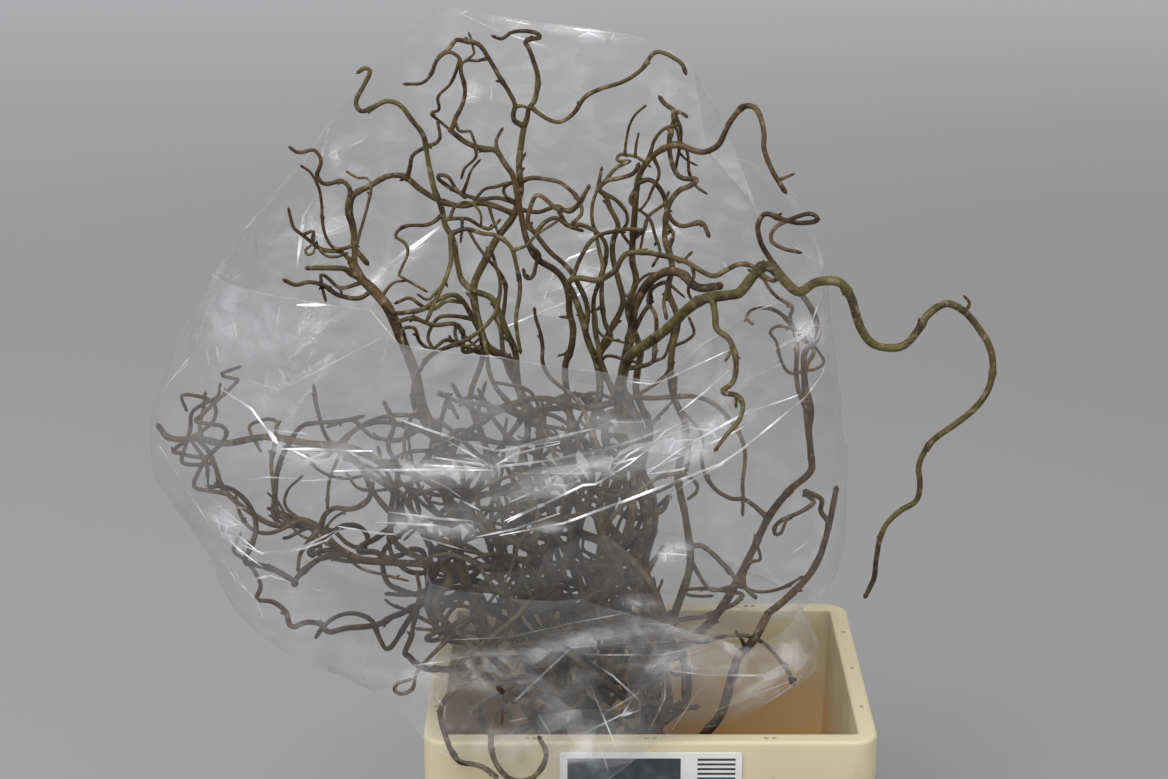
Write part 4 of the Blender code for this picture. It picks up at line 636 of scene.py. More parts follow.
def stem_green(bunch):
    main = bunch.stem("stem_green", foot_at((-0.5, -1)), (12, 10.6, 7.5, 5.6, 5, 4.2, 3.2), [
        (585, 745, -20), (566, 700), (545, 655), (548, 610), (530, 565), (538, 520), (520, 475), (528, 430),
        (518, 385), (515, 351, -25), (508, 335), (501, 317), (491, 298), (472, 290), (462, 280), (457, 261),
        (452, 237), (446, 227), (442, 210), (434, 188), (428, 160), (423, 135), (411, 119), (400, 105),
        (387, 101), (370, 109), (361, 111), (356, 103), (364, 85), (370, 71), (366, 68), (360, 71, -60)])
    down = bunch.twig(main, (3.8, 3), [
        (449, 232), (451, 252), (451, 261), (445, 280), (437, 297), (428, 318, -70)])
    bunch.twig(main, (3, 2.2), [
        (442, 214), (434, 222), (425, 225), (406, 226), (398, 231), (395, 236), (405, 243), (408, 252),
        (401, 269), (399, 275), (405, 279), (417, 286), (424, 290, -50)])
    bunch.twig(main, (3.6, 3), [
        (452, 234), (465, 229), (485, 234), (495, 235), (505, 241), (512, 249), (517, 268), (520, 288),
        (516, 321), (520, 350, -40)])
    bunch.twig(down, (2.6, 2), [(442, 285), (436, 292), (428, 300), (420, 296, -70)])
    bunch.twig(main, (3, 2.4), [(449, 217), (468, 219), (478, 225), (489, 229), (498, 222, -30)])
    return main


def stem_wavy(bunch):
    main = bunch.stem("stem_wavy", foot_at((0.5, -1)), (12, 10.6, 8, 6.4, 5.4, 4.4, 3.4), [
        (608, 745, -20), (598, 700), (612, 655), (600, 610), (612, 565, -42), (598, 520), (606, 475),
        (592, 430),
        (600, 390), (596, 361, -15), (588, 341), (581, 315), (572, 291), (568, 283), (577, 278), (598, 280),
        (614, 271), (625, 255), (640, 252), (665, 256), (684, 261), (703, 272), (714, 276), (730, 268),
        (740, 264), (752, 266), (765, 277), (774, 281), (778, 276, -90)])
    loop = bunch.twig(main, (4.2, 3.8, 3.2), [
        (586, 331), (588, 306), (580, 287), (568, 268), (550, 252), (535, 233), (528, 224), (531, 205),
        (537, 195), (544, 198), (557, 209), (573, 209), (582, 198), (588, 188, -50)])
    bunch.twig(loop, (3.6, 3), [(535, 233), (545, 222), (556, 218), (568, 226), (580, 230, -20)])
    bunch.twig(main, (3.6, 2.8), [
        (574, 282), (583, 253), (596, 237), (616, 231), (629, 229), (642, 230, -20)])
    bunch.twig(main, (2.8, 2.2), [(690, 263), (694, 276), (688, 290), (694, 304, -60)])
    return main


def stem_knot(bunch):
    main = bunch.stem("stem_knot", foot_at((1.5, -1)), (12, 10.6, 8, 6, 5.4, 4.4, 3.4), [
        (628, 745, -10), (630, 700), (615, 655), (628, 610), (618, 560), (630, 515, -20), (618, 470),
        (624, 425),
        (612, 390), (600, 360, 0), (604, 342), (615, 322), (623, 302), (619, 282), (613, 258), (613, 240),
        (618, 226), (609, 206), (605, 195), (599, 190), (606, 181), (620, 178), (634, 173), (638, 166, -30)])
    bunch.twig(main, (4, 3.4), [
        (602, 350), (611, 338), (605, 323), (602, 302), (602, 278), (606, 247), (598, 233), (581, 225),
        (568, 225), (560, 213, -20)])
    loop = bunch.twig(main, (3, 2.4), [(607, 183), (616, 168), (630, 161), (617, 161), (619, 155), (636, 157),
        (648, 165, 0)])
    bunch.twig(loop, (2.6, 2), [(626, 156), (626, 142), (630, 124), (636, 114), (644, 107, -30)])
    bunch.twig(loop, (2.4, 1.8), [(637, 157), (636, 146), (638, 136, -10)])
    bunch.twig(main, (3.2, 2.6), [(606, 194), (616, 200), (626, 212), (627, 223), (622, 232), (630, 244, 10)])
    return main


def stem_long(bunch):
    main = bunch.stem("stem_long", foot_at((0, 0)), (12, 11.4, 10.5, 9, 8, 7, 5.6, 4.6, 3.8), [
        (600, 745, 0), (592, 700), (578, 655), (584, 610), (600, 565, 12), (606, 520), (622, 475), (626, 435),
        (618, 400), (622, 378, -40), (630, 356), (648, 343), (668, 328), (690, 307, -140), (703, 299),
        (728, 295), (739, 293), (754, 275), (762, 267), (770, 267), (784, 280, -180), (799, 292), (816, 282),
        (839, 282), (850, 296), (861, 329), (872, 343), (886, 348), (903, 346), (917, 332), (926, 317),
        (945, 304, -140), (959, 308), (968, 315), (979, 329), (989, 346), (993, 365), (989, 388),
        (976, 407), (956, 424), (937, 437), (926, 449), (919, 466), (920, 486), (916, 501), (900, 511),
        (886, 525), (879, 542), (876, 559), (874, 578), (866, 595, -90)], FREE)
    drop = bunch.twig(main, (4.8, 4, 3), [
        (710, 298), (715, 313), (717, 329), (729, 339), (736, 360), (733, 382), (722, 392), (738, 396),
        (743, 406), (738, 422), (728, 433), (717, 448, -232)], OUTSIDE)
    bunch.twig(drop, (2.8, 2.2), [(731, 341), (731, 351), (726, 360, -225)], OUTSIDE)
    bunch.twig(main, (2.8, 2.2), [(966, 312), (970, 304), (966, 298, -140)], OUTSIDE)
    return main


def stem_thick(bunch):
    main = bunch.stem("stem_thick", foot_at((1, 0)), (12, 11, 9.5, 8.4, 7.6, 7, 6.6), [
        (626, 745, 10), (640, 700), (634, 655), (646, 610), (636, 565), (648, 520), (636, 475), (640, 430),
        (622, 385, 20), (624, 364), (631, 334), (635, 307), (646, 286), (654, 278), (665, 272), (676, 272),
        (685, 276), (692, 284), (702, 288), (719, 286, -50)])
    bunch.twig(main, (3.8, 3), [
        (626, 350), (641, 317), (651, 301), (651, 291), (662, 283), (669, 284), (664, 300), (666, 316, -30)])
    bunch.twig(main, (3.8, 3), [
        (624, 368), (652, 362), (655, 345), (656, 317), (648, 300), (652, 286, 60)])
    bunch.twig(main, (3.4, 2.6), [(636, 400), (668, 372), (672, 348), (686, 341), (694, 333), (690, 320, 0)])
    return main


def stem_cluster(bunch):
    main = bunch.stem("stem_cluster", foot_at((1.5, 1)), (12, 10.6, 8, 6, 5.2, 4.6, 3.8), [
        (640, 745, 25), (652, 700), (642, 655), (656, 610), (645, 565), (654, 520), (640, 475), (650, 430),
        (636, 390), (640, 350, 45), (628, 310), (636, 280), (632, 260), (633, 237), (635, 211), (639, 176),
        (648, 161), (661, 150), (671, 146), (681, 146), (700, 152), (711, 150), (719, 144), (730, 122),
        (743, 107), (750, 106), (757, 110), (764, 133), (764, 148), (773, 172), (784, 190, -60)])
    bunch.twig(main, (2.6, 2), [(777, 179), (784, 178), (791, 175, -60)])
    bunch.twig(main, (3.2, 2.6), [(646, 163), (651, 151), (654, 141), (664, 129), (677, 125, 0)])
    bunch.twig(main, (4, 3.4), [
        (638, 180), (651, 180), (663, 194), (669, 215), (675, 223), (683, 226), (702, 223), (708, 234, 0)])
    bunch.twig(main, (3.2, 2.6), [
        (634, 240), (644, 230), (648, 217), (656, 210), (664, 204), (668, 194, 70)])
    bunch.twig(main, (3, 2.4), [
        (638, 190), (630, 200), (634, 206), (649, 218), (656, 239), (660, 252), (654, 264, 20)])
    return main


def stem_upright(bunch):
    main = bunch.stem("stem_upright", foot_at((2, 0)), (12, 10.6, 7.5, 6, 5.2, 4.4, 3.6), [
        (652, 745, 10), (668, 700), (662, 655), (676, 610), (690, 565), (686, 520), (678, 475), (686, 430),
        (672, 390), (672, 350, -15), (678, 320), (668, 290), (672, 266), (665, 240), (665, 227), (669, 204),
        (680, 190), (690, 186), (698, 179), (688, 179), (680, 177), (674, 169), (669, 144), (672, 128),
        (675, 112), (665, 104), (661, 99, 20)])
    bunch.twig(main, (3.4, 2.8), [(672, 126), (676, 114), (680, 112), (686, 116, -20)])
    bunch.twig(main, (3, 2.4), [(674, 118), (681, 130), (679, 151), (676, 166, 30)])
    bunch.twig(main, (2.8, 2.2), [
        (670, 142), (683, 144), (688, 156), (689, 172), (696, 186), (704, 192, 20)])
    bunch.twig(main, (3, 2.4), [(666, 232), (672, 231), (673, 238), (670, 251), (680, 262), (690, 254, 40)])
    bunch.twig(main, (3.6, 2.6), [
        (688, 560), (712, 590), (735, 586), (760, 592), (782, 588), (800, 578, 0)])
    return main


def stem_curled(bunch):
    main = bunch.stem("stem_curled", foot_at((-1, 0)), (12, 10.6, 7.5, 6, 5, 4.2, 3.4), [
        (572, 745, 5), (548, 700), (525, 660), (512, 615), (500, 570), (505, 525), (490, 480), (484, 440),
        (470, 400), (482, 360, -5), (482, 340), (471, 315), (460, 298), (451, 295), (432, 303), (423, 309),
        (401, 313), (391, 313), (384, 306, -70)])
    bunch.twig(main, (3.4, 2.8), [
        (462, 300), (446, 301), (434, 309), (422, 306), (410, 298), (398, 302, -20)])
    bunch.twig(main, (4, 3.4), [
        (478, 348), (464, 352), (463, 334), (455, 324), (434, 325), (412, 318), (398, 322, -60)])
    bunch.twig(main, (3.4, 2.6), [
        (478, 352), (461, 345), (446, 340), (432, 349), (420, 342), (414, 328), (402, 330), (404, 348, -75)])
    bunch.twig(main, (3.4, 2.6), [(472, 318), (452, 316), (438, 318), (428, 338), (434, 350, -30)])
    bunch.twig(main, (4.4, 3.2), [
        (484, 440), (460, 430), (440, 440), (420, 430), (400, 440), (372, 436), (352, 420), (330, 426, 0)])
    return main


def stem_side(bunch):
    main = bunch.stem("stem_side", foot_at((-1.5, 1)), (12, 10.6, 8, 6.4, 5.2, 4.2, 3), [
        (566, 745, 35), (590, 700), (640, 665), (690, 640, 70), (720, 610), (748, 560), (770, 515),
        (790, 490),
        (811, 470, 10), (811, 454), (809, 430), (811, 409), (806, 390), (804, 371), (805, 352), (818, 336),
        (816, 320), (806, 300), (790, 284), (774, 264), (762, 245), (758, 225), (765, 214), (782, 219),
        (800, 223), (818, 220), (812, 214), (791, 219), (774, 229), (771, 240), (782, 248), (798, 252, -60)])
    bunch.twig(main, (2.8, 2.2), [
        (804, 372), (790, 373), (782, 363), (776, 341), (770, 332), (778, 326), (792, 329, -30)])
    bunch.twig(main, (2.6, 2), [(804, 372), (818, 368), (824, 362), (816, 348, 0)])
    return main


def stem_front(bunch):
    main = bunch.stem("stem_front", LOOSE_FOOT, (12, 10.6, 8.6, 7.6, 6, 4.4), [
        (700, 745, -50), (722, 712, -72), (731, 680, -78), (740, 655, -78), (752, 646), (778, 628, -62),
        (800, 600, -48), (815, 570), (828, 530), (836, 490, -20)])
    bunch.twig(main, (3.4, 2.6), [(744, 652), (743, 642), (737, 633, -85)])
    return main


# Each stem, the number of its seeded twigs, and the compass direction that they lean to
STEMS = [
    (stem_left, 3, 130), (stem_low, 3, 215), (stem_arch, 3, 105), (stem_dark, 3, 60), (stem_green, 3, 235),
    (stem_wavy, 3, -75), (stem_knot, 2, -50), (stem_long, 2, 80), (stem_thick, 3, 20),
    (stem_cluster, 3, 70), (stem_upright, 2, -10), (stem_curled, 3, 160), (stem_side, 3, 115),
    (stem_front, 1, 0)]


def add_curls(bunch, mains, bag, draw):
    """Seeded side twigs on every stem, towards the sides and the back that the front view doesn't show."""
    for main, (count, leaning) in mains.items():
        for _ in range(count):
            height = CRATE_HEIGHT + draw.uniform(*CURL_HEIGHTS)
            turn = math.radians(leaning + draw.uniform(-50, 50))
            heading = (math.cos(turn), math.sin(turn), draw.uniform(0.1, 0.8))
            bunch.curl(main, height, draw.uniform(*CURL_LENGTH), heading, (4.4, 2.6), bag, draw)


def neighbours(points, reach):
    """Pairs of points closer than reach, by sorting them into cubes of that size."""
    cubes = {}
    for index, cube in enumerate(map(tuple, np.floor(points / reach).astype(int))):
        cubes.setdefault(cube, []).append(index)
    ahead = [(i, j, k) for i in (-1, 0, 1) for j in (-1, 0, 1) for k in (-1, 0, 1) if (i, j, k) > (0, 0, 0)]
    first, second = [], []
    for cube, here in cubes.items():
        for a in range(len(here)):
            first += [here[a]] * (len(here) - a - 1)
            second += here[a + 1:]
        for step in ahead:
            there = cubes.get((cube[0] + step[0], cube[1] + step[1], cube[2] + step[2]), ())
            for a in here:
                first += [a] * len(there)
                second += there
    return np.array(first), np.array(second)


def spread_push(push, free):
    """Spreads a push along its line, so that the line bends over a few centimetres and keeps no kink."""
    reach = SPREAD_POINTS
    kernel = np.exp(-0.5 * (np.arange(-reach, reach + 1) / SPREAD_WIDTH) ** 2)
    spread = np.stack([np.convolve(push[:, k], kernel, "full")[reach:-reach] for k in range(3)], axis=1)
    size = np.linalg.norm(spread, axis=1).max()
    wanted = np.linalg.norm(push, axis=1).max()
    spread *= min(1.0, wanted / size) if size > 0 else 0.0
    return spread * free[:, None]


def fore_and_aft(first, second, deep, owner):
    """For each close pair, which of its two lines lies nearer the eye along that stretch: 1 or -1."""
    side = np.ones(len(deep))
    keys = owner[first] * len(owner) + owner[second]
    for key in np.unique(keys):
        pairs = np.flatnonzero(keys == key)
        alike = np.abs(first[pairs][:, None] - first[pairs][None, :]) <= 10
        side[pairs] = np.where(alike @ deep[pairs] >= 0, 1.0, -1.0)
    return side


def parting_axes(points, along, other):
    """The direction that parts each close pair of lines: nearly along the sight, so that the front view keeps
    its shape, or square to both lines where one of them runs along the sight itself."""
    sight = points - EYE
    sight /= np.linalg.norm(sight, axis=1)[:, None]
    along = along / np.linalg.norm(along, axis=1)[:, None]
    other = other / np.linalg.norm(other, axis=1)[:, None]
    slant = np.einsum("ij,ij->i", sight, along)
    level = sight - along * slant[:, None]
    square = np.cross(along, other)
    endwise = np.maximum(np.abs(slant), np.abs(np.einsum("ij,ij->i", sight, other))) > ENDWISE
    crossing = endwise & (np.linalg.norm(square, axis=1) > 0.35)
    axis = np.where(crossing[:, None], square, level)
    axis *= np.where(np.einsum("ij,ij->i", axis, sight) < 0, -1.0, 1.0)[:, None]
    return axis / np.maximum(np.linalg.norm(axis, axis=1), 1e-9)[:, None]


def settle(bunch, sleeves, crate):
    """Bends the lines clear of other stems, of the sleeves and of the crate."""
    lines = bunch.lines
    starts = np.cumsum([0] + [len(line["points"]) for line in lines])
    radii = np.concatenate([line["radii"] for line in lines])
    names = sorted({line["node"] for line in lines})
    node = np.concatenate([[names.index(line["node"])] * len(line["points"]) for line in lines])
    owner = np.concatenate([[i] * len(line["points"]) for i, line in enumerate(lines)])
    for turn in range(ROUNDS):
        points = np.vstack([line["points"] for line in lines])
        push = np.zeros_like(points)
        first, second = neighbours(points, SEARCH_REACH)
        first, second = np.minimum(first, second), np.maximum(first, second)
        between = points[second] - points[first]
        need = radii[first] + radii[second] + GAP
        close = (node[first] != node[second]) & (np.linalg.norm(between, axis=1) < need)
        first, second, between, need = first[close], second[close], between[close], need[close]
        tangents = np.vstack([np.gradient(line["points"], axis=0) for line in lines])
        axis = parting_axes(points[first], tangents[first], tangents[second])
        deep = np.einsum("ij,ij->i", between, axis)
        across = np.einsum("ij,ij->i", between, between) - deep ** 2
        side = fore_and_aft(first, second, deep, owner)
        wanted = np.sqrt(np.maximum(need ** 2 - across, 0)) - side * deep
        order = np.argsort(wanted)
        for index, sign in ((first, -0.5), (second, 0.5)):
            push[index[order]] = (axis * (sign * side * wanted)[:, None])[order]
        if turn % WATCH_EVERY == 0:
            watched = [nearby(points, sleeve) for sleeve in sleeves]
        for i, line in enumerate(lines):
            part = slice(starts[i], starts[i + 1])
            push[part] += crate_push(line, points[part], crate)
            for side_kept, sleeve, watch in zip(line["sides"], sleeves, watched):
                push[part] += film_push(line, points[part], sleeve, side_kept, watch[part])
            line["push"] = spread_push(push[part], rise(line))
        for line in lines:
            if line["parent"] is not None:
                parent = lines[line["parent"]]
                lag = parent["push"][line["joint"]] - line["push"][0]
                line["push"] += lag * np.exp(-np.arange(len(line["push"])) / 5.0)[:, None]
            line["points"] = line["points"] + line["push"]
        if not len(first) and np.abs(push).max() < 2e-4:
            break


def rise(line):
    """How far each point may be bent: a stem's tied foot stays where it is."""
    if line["parent"] is not None:
        return np.ones(len(line["points"]))
    return np.clip((line["points"][:, 2] - STRAIGHT_TO + 0.01) / 0.06, 0.0, 1.0)


def nearby(points, sleeve):
    """Which points are near enough to a sleeve to reach it in the next rounds."""
    found = [sleeve.find_nearest(Vector(point), FILM_REACH)[3] for point in points]
    return np.array([gap is not None and gap < FILM_WATCH for gap in found])


def film_push(line, points, sleeve, side, watch):
    """What brings a line back to its own side of a sleeve."""
    push = np.zeros_like(points)
    if side == 0:
        return push
    for i in np.flatnonzero(watch):
        point = points[i]
        near, normal, _, gap = sleeve.find_nearest(Vector(point), FILM_REACH)
        if near is None or point[2] < STRAIGHT_TO:
            continue
        need = line["radii"][i] + FILM / 2 + FILM_GAP
        above = side * float((point - np.array(near)) @ np.array(normal))
        if above > -need and (gap < need or abs(above) > 0.7 * gap):
            push[i] = -side * np.array(normal) * (need + above) * 0.7
    return push


def crate_push(line, points, crate):
    """What keeps a line clear of the crate's walls and rim."""
    push = np.zeros_like(points)
    for i, (point, radius) in enumerate(zip(points, line["radii"])):
        if point[2] < STRAIGHT_TO or point[2] > CRATE_HEIGHT + 0.02:
            continue
        near, normal, _, gap = crate.find_nearest(Vector(point), 0.03)
        if near is None:
            continue
        inside = float((point - np.array(near)) @ np.array(normal)) < 0
        need = radius + GAP
        if inside or gap < need:
            push[i] = np.array(normal) * (need + gap if inside else need - gap)
    return push


def rounded_rectangle(inset, height):
    """A ring round the crate, inset from its outer size."""
    radius = max(CORNER_RADIUS - inset, 0.004)
    half_width, half_depth = CRATE_WIDTH / 2 - inset - radius, CRATE_DEPTH / 2 - inset - radius
    ring = []
    for quarter, (sx, sy) in enumerate(((1, 1), (-1, 1), (-1, -1), (1, -1))):
        for step in range(CORNER_STEPS + 1):
            turn = math.radians(90 * (quarter + step / CORNER_STEPS))
            ring.append(Vector((sx * half_width + radius * math.cos(turn),
                                sy * half_depth + radius * math.sin(turn), height)))
    return ring


def bridged(mesh, rings):
    """Closes a row of equal rings into faces, each ring to the next."""
    for low, high in zip(rings, rings[1:]):
        for k in range(len(low)):
            mesh.faces.new((low[k - 1], low[k], high[k], high[k - 1]))


def rim_holes():
    """Centres of the drain holes: pairs along the long sides, single ones along the short sides."""
    y = CRATE_DEPTH / 2 - FLANGE / 2
    x = CRATE_WIDTH / 2 - FLANGE / 2
    for centre in (-HOLE_SPACING, 0.0, HOLE_SPACING):
        for shift in (-0.0035, 0.0035):
            yield centre + shift, y
            yield centre + shift, -y
    for across in (-0.08, 0.0, 0.08):
        yield x, across
        yield -x, across


def ring_through(places, centre, turns):
    """Distance from the centre and height, at each turn, of a closed line of places."""
    away = sorted(
        (math.atan2(y - centre[1], x - centre[0]) % (2 * math.pi),
         math.hypot(x - centre[0], y - centre[1]), z)
        for x, y, z in places)
    known, reach, heights = (np.array(v) for v in zip(*away))
    at = [np.interp(turns, known, v, period=2 * math.pi) for v in (reach, heights)]
    return np.stack([centre[0] + at[0] * np.cos(turns), centre[1] + at[0] * np.sin(turns), at[1]], axis=1)


def ring_round(left, right, front, back, heights, turns):
    """A rounded ring of the sleeve between four sides, at the turns' own heights."""
    c, s = np.cos(turns), np.sin(turns)
    middle = ((left + right) / 2, (front + back) / 2)
    soft = 2 / 2.3
    x = middle[0] + (right - left) / 2 * np.sign(c) * np.abs(c) ** soft
    y = middle[1] + (back - front) / 2 * np.sign(s) * np.abs(s) ** soft
    return np.stack([x, y, heights], axis=1)


def sleeve_rows(hem, rim, middles, turns, rows):
    """Rows of points from the hem to the rim, along a smooth line up each column."""
    rings = [hem]
    for share, left, right, front, back in middles:
        rings.append(ring_round(left, right, front, back, hem[:, 2] * (1 - share) + rim[:, 2] * share, turns))
    rings.append(rim)
    rings = np.array(rings)
    made = []
    for column in range(len(turns)):
        line = smooth_curve(rings[:, column])
        at = np.linspace(0, len(line) - 1, rows)
        made.append(np.stack([np.interp(at, range(len(line)), line[:, k]) for k in range(3)], axis=1))
    return np.array(made).transpose(1, 0, 2)


def main_sleeve_rows(turns, rows):
    """The clear main sleeve: a wide bag with a low front rim and a high back."""
    rim = ring_through([seen(a, d, depth / 1000) for a, d, depth in MAIN_RIM], RIM_CENTRE, turns)
    hem = ring_through([(x, y, CRATE_HEIGHT + z) for x, y, z in MAIN_HEM], HEM_CENTRE, turns)
    return sleeve_rows(hem, rim, MAIN_BELLY, turns, rows)


def collar_rows(turns, rows):
    """The clear lower sleeve: a skirt whose left half hangs over the crate's front rim."""
    hem = ring_through([(x, y, CRATE_HEIGHT + z) for x, y, z in COLLAR_HEM], COLLAR_CENTRE, turns)
    mouth = ring_through([(x, y, CRATE_HEIGHT + z) for x, y, z in COLLAR_MOUTH], COLLAR_CENTRE, turns)
    return sleeve_rows(hem, mouth, COLLAR_BELLY, turns, rows)


def film_normals(rows):
    """Outward directions of a sleeve's points."""
    around = np.roll(rows, -1, axis=1) - np.roll(rows, 1, axis=1)
    upward = np.gradient(rows, axis=0)
    normals = np.cross(around, upward)
    return normals / np.linalg.norm(normals, axis=2)[:, :, None]


def grid_faces(rows):
    """The quads of a sleeve's grid, which closes on itself round the bunch."""
    count = rows.shape[1]
    faces = []
    for low in range(0, (rows.shape[0] - 1) * count, count):
        high = low + count
        faces += [(low + c, low + (c + 1) % count, high + (c + 1) % count, high + c) for c in range(count)]
    return faces


def surface_tree(rows):
    """The sleeve's middle surface, to measure distances from, its faces pointing out."""
    return BVHTree.FromPolygons([Vector(v) for v in rows.reshape(-1, 3)], grid_faces(rows))


# The film's fine shape

def film_turns(count):
    """Places round a sleeve, closer together at the front."""
    even = np.linspace(0, 2 * math.pi, count, endpoint=False)
    return even - FRONT_SHARE * np.cos(even)


def seeded_creases(rows, count, draw):
    """Straight creases laid on a sleeve, mostly across it: start, end, half width, height."""
    normals = film_normals(rows)
    creases = []
    for _ in range(count):
        r, c = draw.randrange(rows.shape[0]), draw.randrange(rows.shape[1])
        start, normal = rows[r, c], normals[r, c]
        level = np.cross((0.0, 0.0, 1.0), normal)
        level /= np.linalg.norm(level)
        upward = np.cross(normal, level)
        turn = math.radians(draw.gauss(CREASE_TILT, CREASE_SPREAD))
        reach = draw.uniform(*CREASE_LENGTH) * (math.cos(turn) * level + math.sin(turn) * upward)
        height = draw.choice((-1, 1)) * draw.uniform(*CREASE_HEIGHT)
        creases.append((start, start + reach, draw.uniform(*CREASE_WIDTH), height))
    return creases


def creased(rows, creases):
    """Lifts the film into ridges and valleys along straight creases."""
    lift = np.zeros(rows.shape[:2])
    for start, end, width, height in creases:
        along = end - start
        away = rows - start
        share = np.clip(away @ along / (along @ along), 0, 1)
        gap = np.linalg.norm(away - share[..., None] * along, axis=2)
        lift += height * np.sin(math.pi * (0.1 + 0.8 * share)) * np.maximum(0, 1 - gap / width)
    return rows + film_normals(rows) * lift[..., None]


def film_haze(rows, share_front, share_back):
    """How milky the film is at each point, clearer where only its inner side faces the eye, and its painted
    sheen.
    """
    points = rows.reshape(-1, 3)
    normals = film_normals(rows).reshape(-1, 3)
    outer = np.einsum("ij,ij->i", normals, EYE - points) > 0
    across, down = pixel_of(points).T
    haze = np.where(outer, share_front, share_back)
    clear = np.clip((across - CLEAR_FROM) / 60, 0, 1)
    haze *= 1 - 0.45 * clear * outer
    haze *= np.interp(down, HAZE_FADE[:2], (1.0, HAZE_FADE[2]))
    # Painted sheen: a little over the whole inner side, more in the listed areas
    sheen = np.where(outer, 0.0, BACK_SHEEN)
    for side, x, y, half_x, half_y, tilt, strength in SHEENS:
        c, s = math.cos(math.radians(tilt)), math.sin(math.radians(tilt))
        u = ((across - x) * c + (down - y) * s) / half_x
        v = ((down - y) * c - (across - x) * s) / half_y
        sheen += strength * np.exp(-(u * u + v * v)) * (outer if side == 1 else ~outer)
    return haze, sheen


def traced_path(tree, route):
    """Where a line of the view lies on the film: points of the first film surface that the eye meets."""
    found, last = [], None
    for (x0, y0), (x1, y1) in zip(route, route[1:]):
        count = max(2, round(math.hypot(x1 - x0, y1 - y0) / FOLD_STEP))
        for share in np.linspace(0, 1, count, endpoint=(x1, y1) == route[-1]):
            ray = Vector(seen(x0 + (x1 - x0) * share, y0 + (y1 - y0) * share, 0.0) - EYE)
            place, normal, _, _ = tree.ray_cast(Vector(EYE), ray)
            if place is None or (last is not None and (place - last).length > FOLD_JUMP):
                continue
            last = place
            found.append((place, -normal if normal.dot(ray) > 0 else normal))
    return found


def laid_path(tree, start, end):
    """A straight crease's points on the film."""
    count = max(3, round(np.linalg.norm(end - start) / 0.005))
    found = []
    for share in np.linspace(0.06, 0.94, count):
        place, normal, _, _ = tree.find_nearest(Vector(start + (end - start) * share))
        found.append((place, normal))
    return found


def edge_path(rows, index):
    """A sleeve's own edge."""
    normals = film_normals(rows)[index]
    ring = [(Vector(p), Vector(n)) for p, n in zip(rows[index], normals)]
    return ring + ring[:1]


class Sheet:
    """Points, faces and attributes of one film piece: the grid and the pressed folds on it."""

    def __init__(self, rows, haze, sheen):
        self.points = [tuple(p) for p in rows.reshape(-1, 3)]
        self.faces = grid_faces(rows)
        self.haze = list(haze)
        self.sheen = list(sheen)
        self.fold = [0.0] * len(self.points)

    def add_fold(self, path, width, brightness, taper=True):
        """A narrow raised fold along a path of points with their normals."""
        if len(path) < 3:
            return
        first = len(self.points)
        for i, (place, normal) in enumerate(path):
            onward = (path[min(i + 1, len(path) - 1)][0] - path[max(i - 1, 0)][0]).normalized()
            side = onward.cross(normal).normalized()
            share = i / (len(path) - 1)
            half = width / 2 * (math.sin(math.pi * (0.08 + 0.84 * share)) ** 0.8 if taper else 1.0)
            patchy = 0.72 + 0.28 * math.sin(0.23 * i + 40 * place.x)
            for across, up in ((-half, 0.0), (0.0, 0.45 * half), (half, 0.0)):
                self.points.append(tuple(place + side * across + normal * (FOLD_LIFT + up)))
                self.haze.append(0.0)
                self.sheen.append(0.0)
                # The brightness whitens the fold: partly its own whitening, partly a painted highlight
                self.fold.append(brightness * patchy)
        for i in range(len(path) - 1):
            a = first + 3 * i
            self.faces += [(a, a + 1, a + 4, a + 3), (a + 1, a + 2, a + 5, a + 4)]

    def made(self, name, film):
        facts = {"haze": self.haze, "sheen": self.sheen, "fold": self.fold}
        return mesh_piece(name, self.points, self.faces, film, **facts)


def mesh_piece(name, points, faces, finish, **facts):
    """A smooth-shaded object from points and faces, with its named float attributes."""
    data = bpy.data.meshes.new(name)
    data.from_pydata(points, [], faces)
    for fact, values in facts.items():
        data.attributes.new(fact, "FLOAT", "POINT").data.foreach_set("value", np.array(values, np.float32))
    data.materials.append(finish)
    data.shade_smooth()
    made = bpy.data.objects.new(name, data)
    bpy.context.scene.collection.objects.link(made)
    return made


def build_film(name, node, rows, milk, creases, folds, film, draw):
    """One film sleeve as a single crumpled sheet, standing for its CAD shell."""
    rows = creased(rows, creases)
    tree = surface_tree(rows)
    sheet = Sheet(rows, *milk)
    for brightness, width, route in folds:
        sheet.add_fold(traced_path(tree, route), width / 1000, brightness)
    for start, end, _, height in creases:
        if height > 0 and draw.random() < SEEDED_FOLD_SHARE:
            path = laid_path(tree, start, end)
            sheet.add_fold(path, draw.uniform(*SEEDED_FOLD_WIDTH), draw.uniform(*SEEDED_FOLD_BRIGHTNESS))
    for edge in (0, -1):
        sheet.add_fold(edge_path(rows, edge), EDGE_WIDTH, EDGE_BRIGHTNESS, taper=False)
    piece = sheet.made(name, film)
    finished(piece, node)
    return piece


# The wood's fine shape

def finer(points, radii):
    """Twice as many points on the same smooth line."""
    ends = np.vstack([2 * points[0] - points[1], points, 2 * points[-1] - points[-2]])
    middles = (9 * (ends[1:-2] + ends[2:-1]) - ends[:-3] - ends[3:]) / 16
    path = np.empty((2 * len(points) - 1, 3))
    path[::2], path[1::2] = points, middles
    widths = np.interp(np.arange(len(path)) / 2, np.arange(len(radii)), radii)
    return path, widths


def carried_frames(path):
    """Directions across a line at each point, carried along it without twist."""
    onward = np.gradient(path, axis=0)
    onward /= np.linalg.norm(onward, axis=1)[:, None]
    across = np.array(Vector(onward[0]).orthogonal().normalized())
    frames = np.empty((len(path), 2, 3))
    for i, tangent in enumerate(onward):
        across = across - tangent * (across @ tangent)
        across /= np.linalg.norm(across)
        frames[i] = across, np.cross(tangent, across)
    return onward, frames


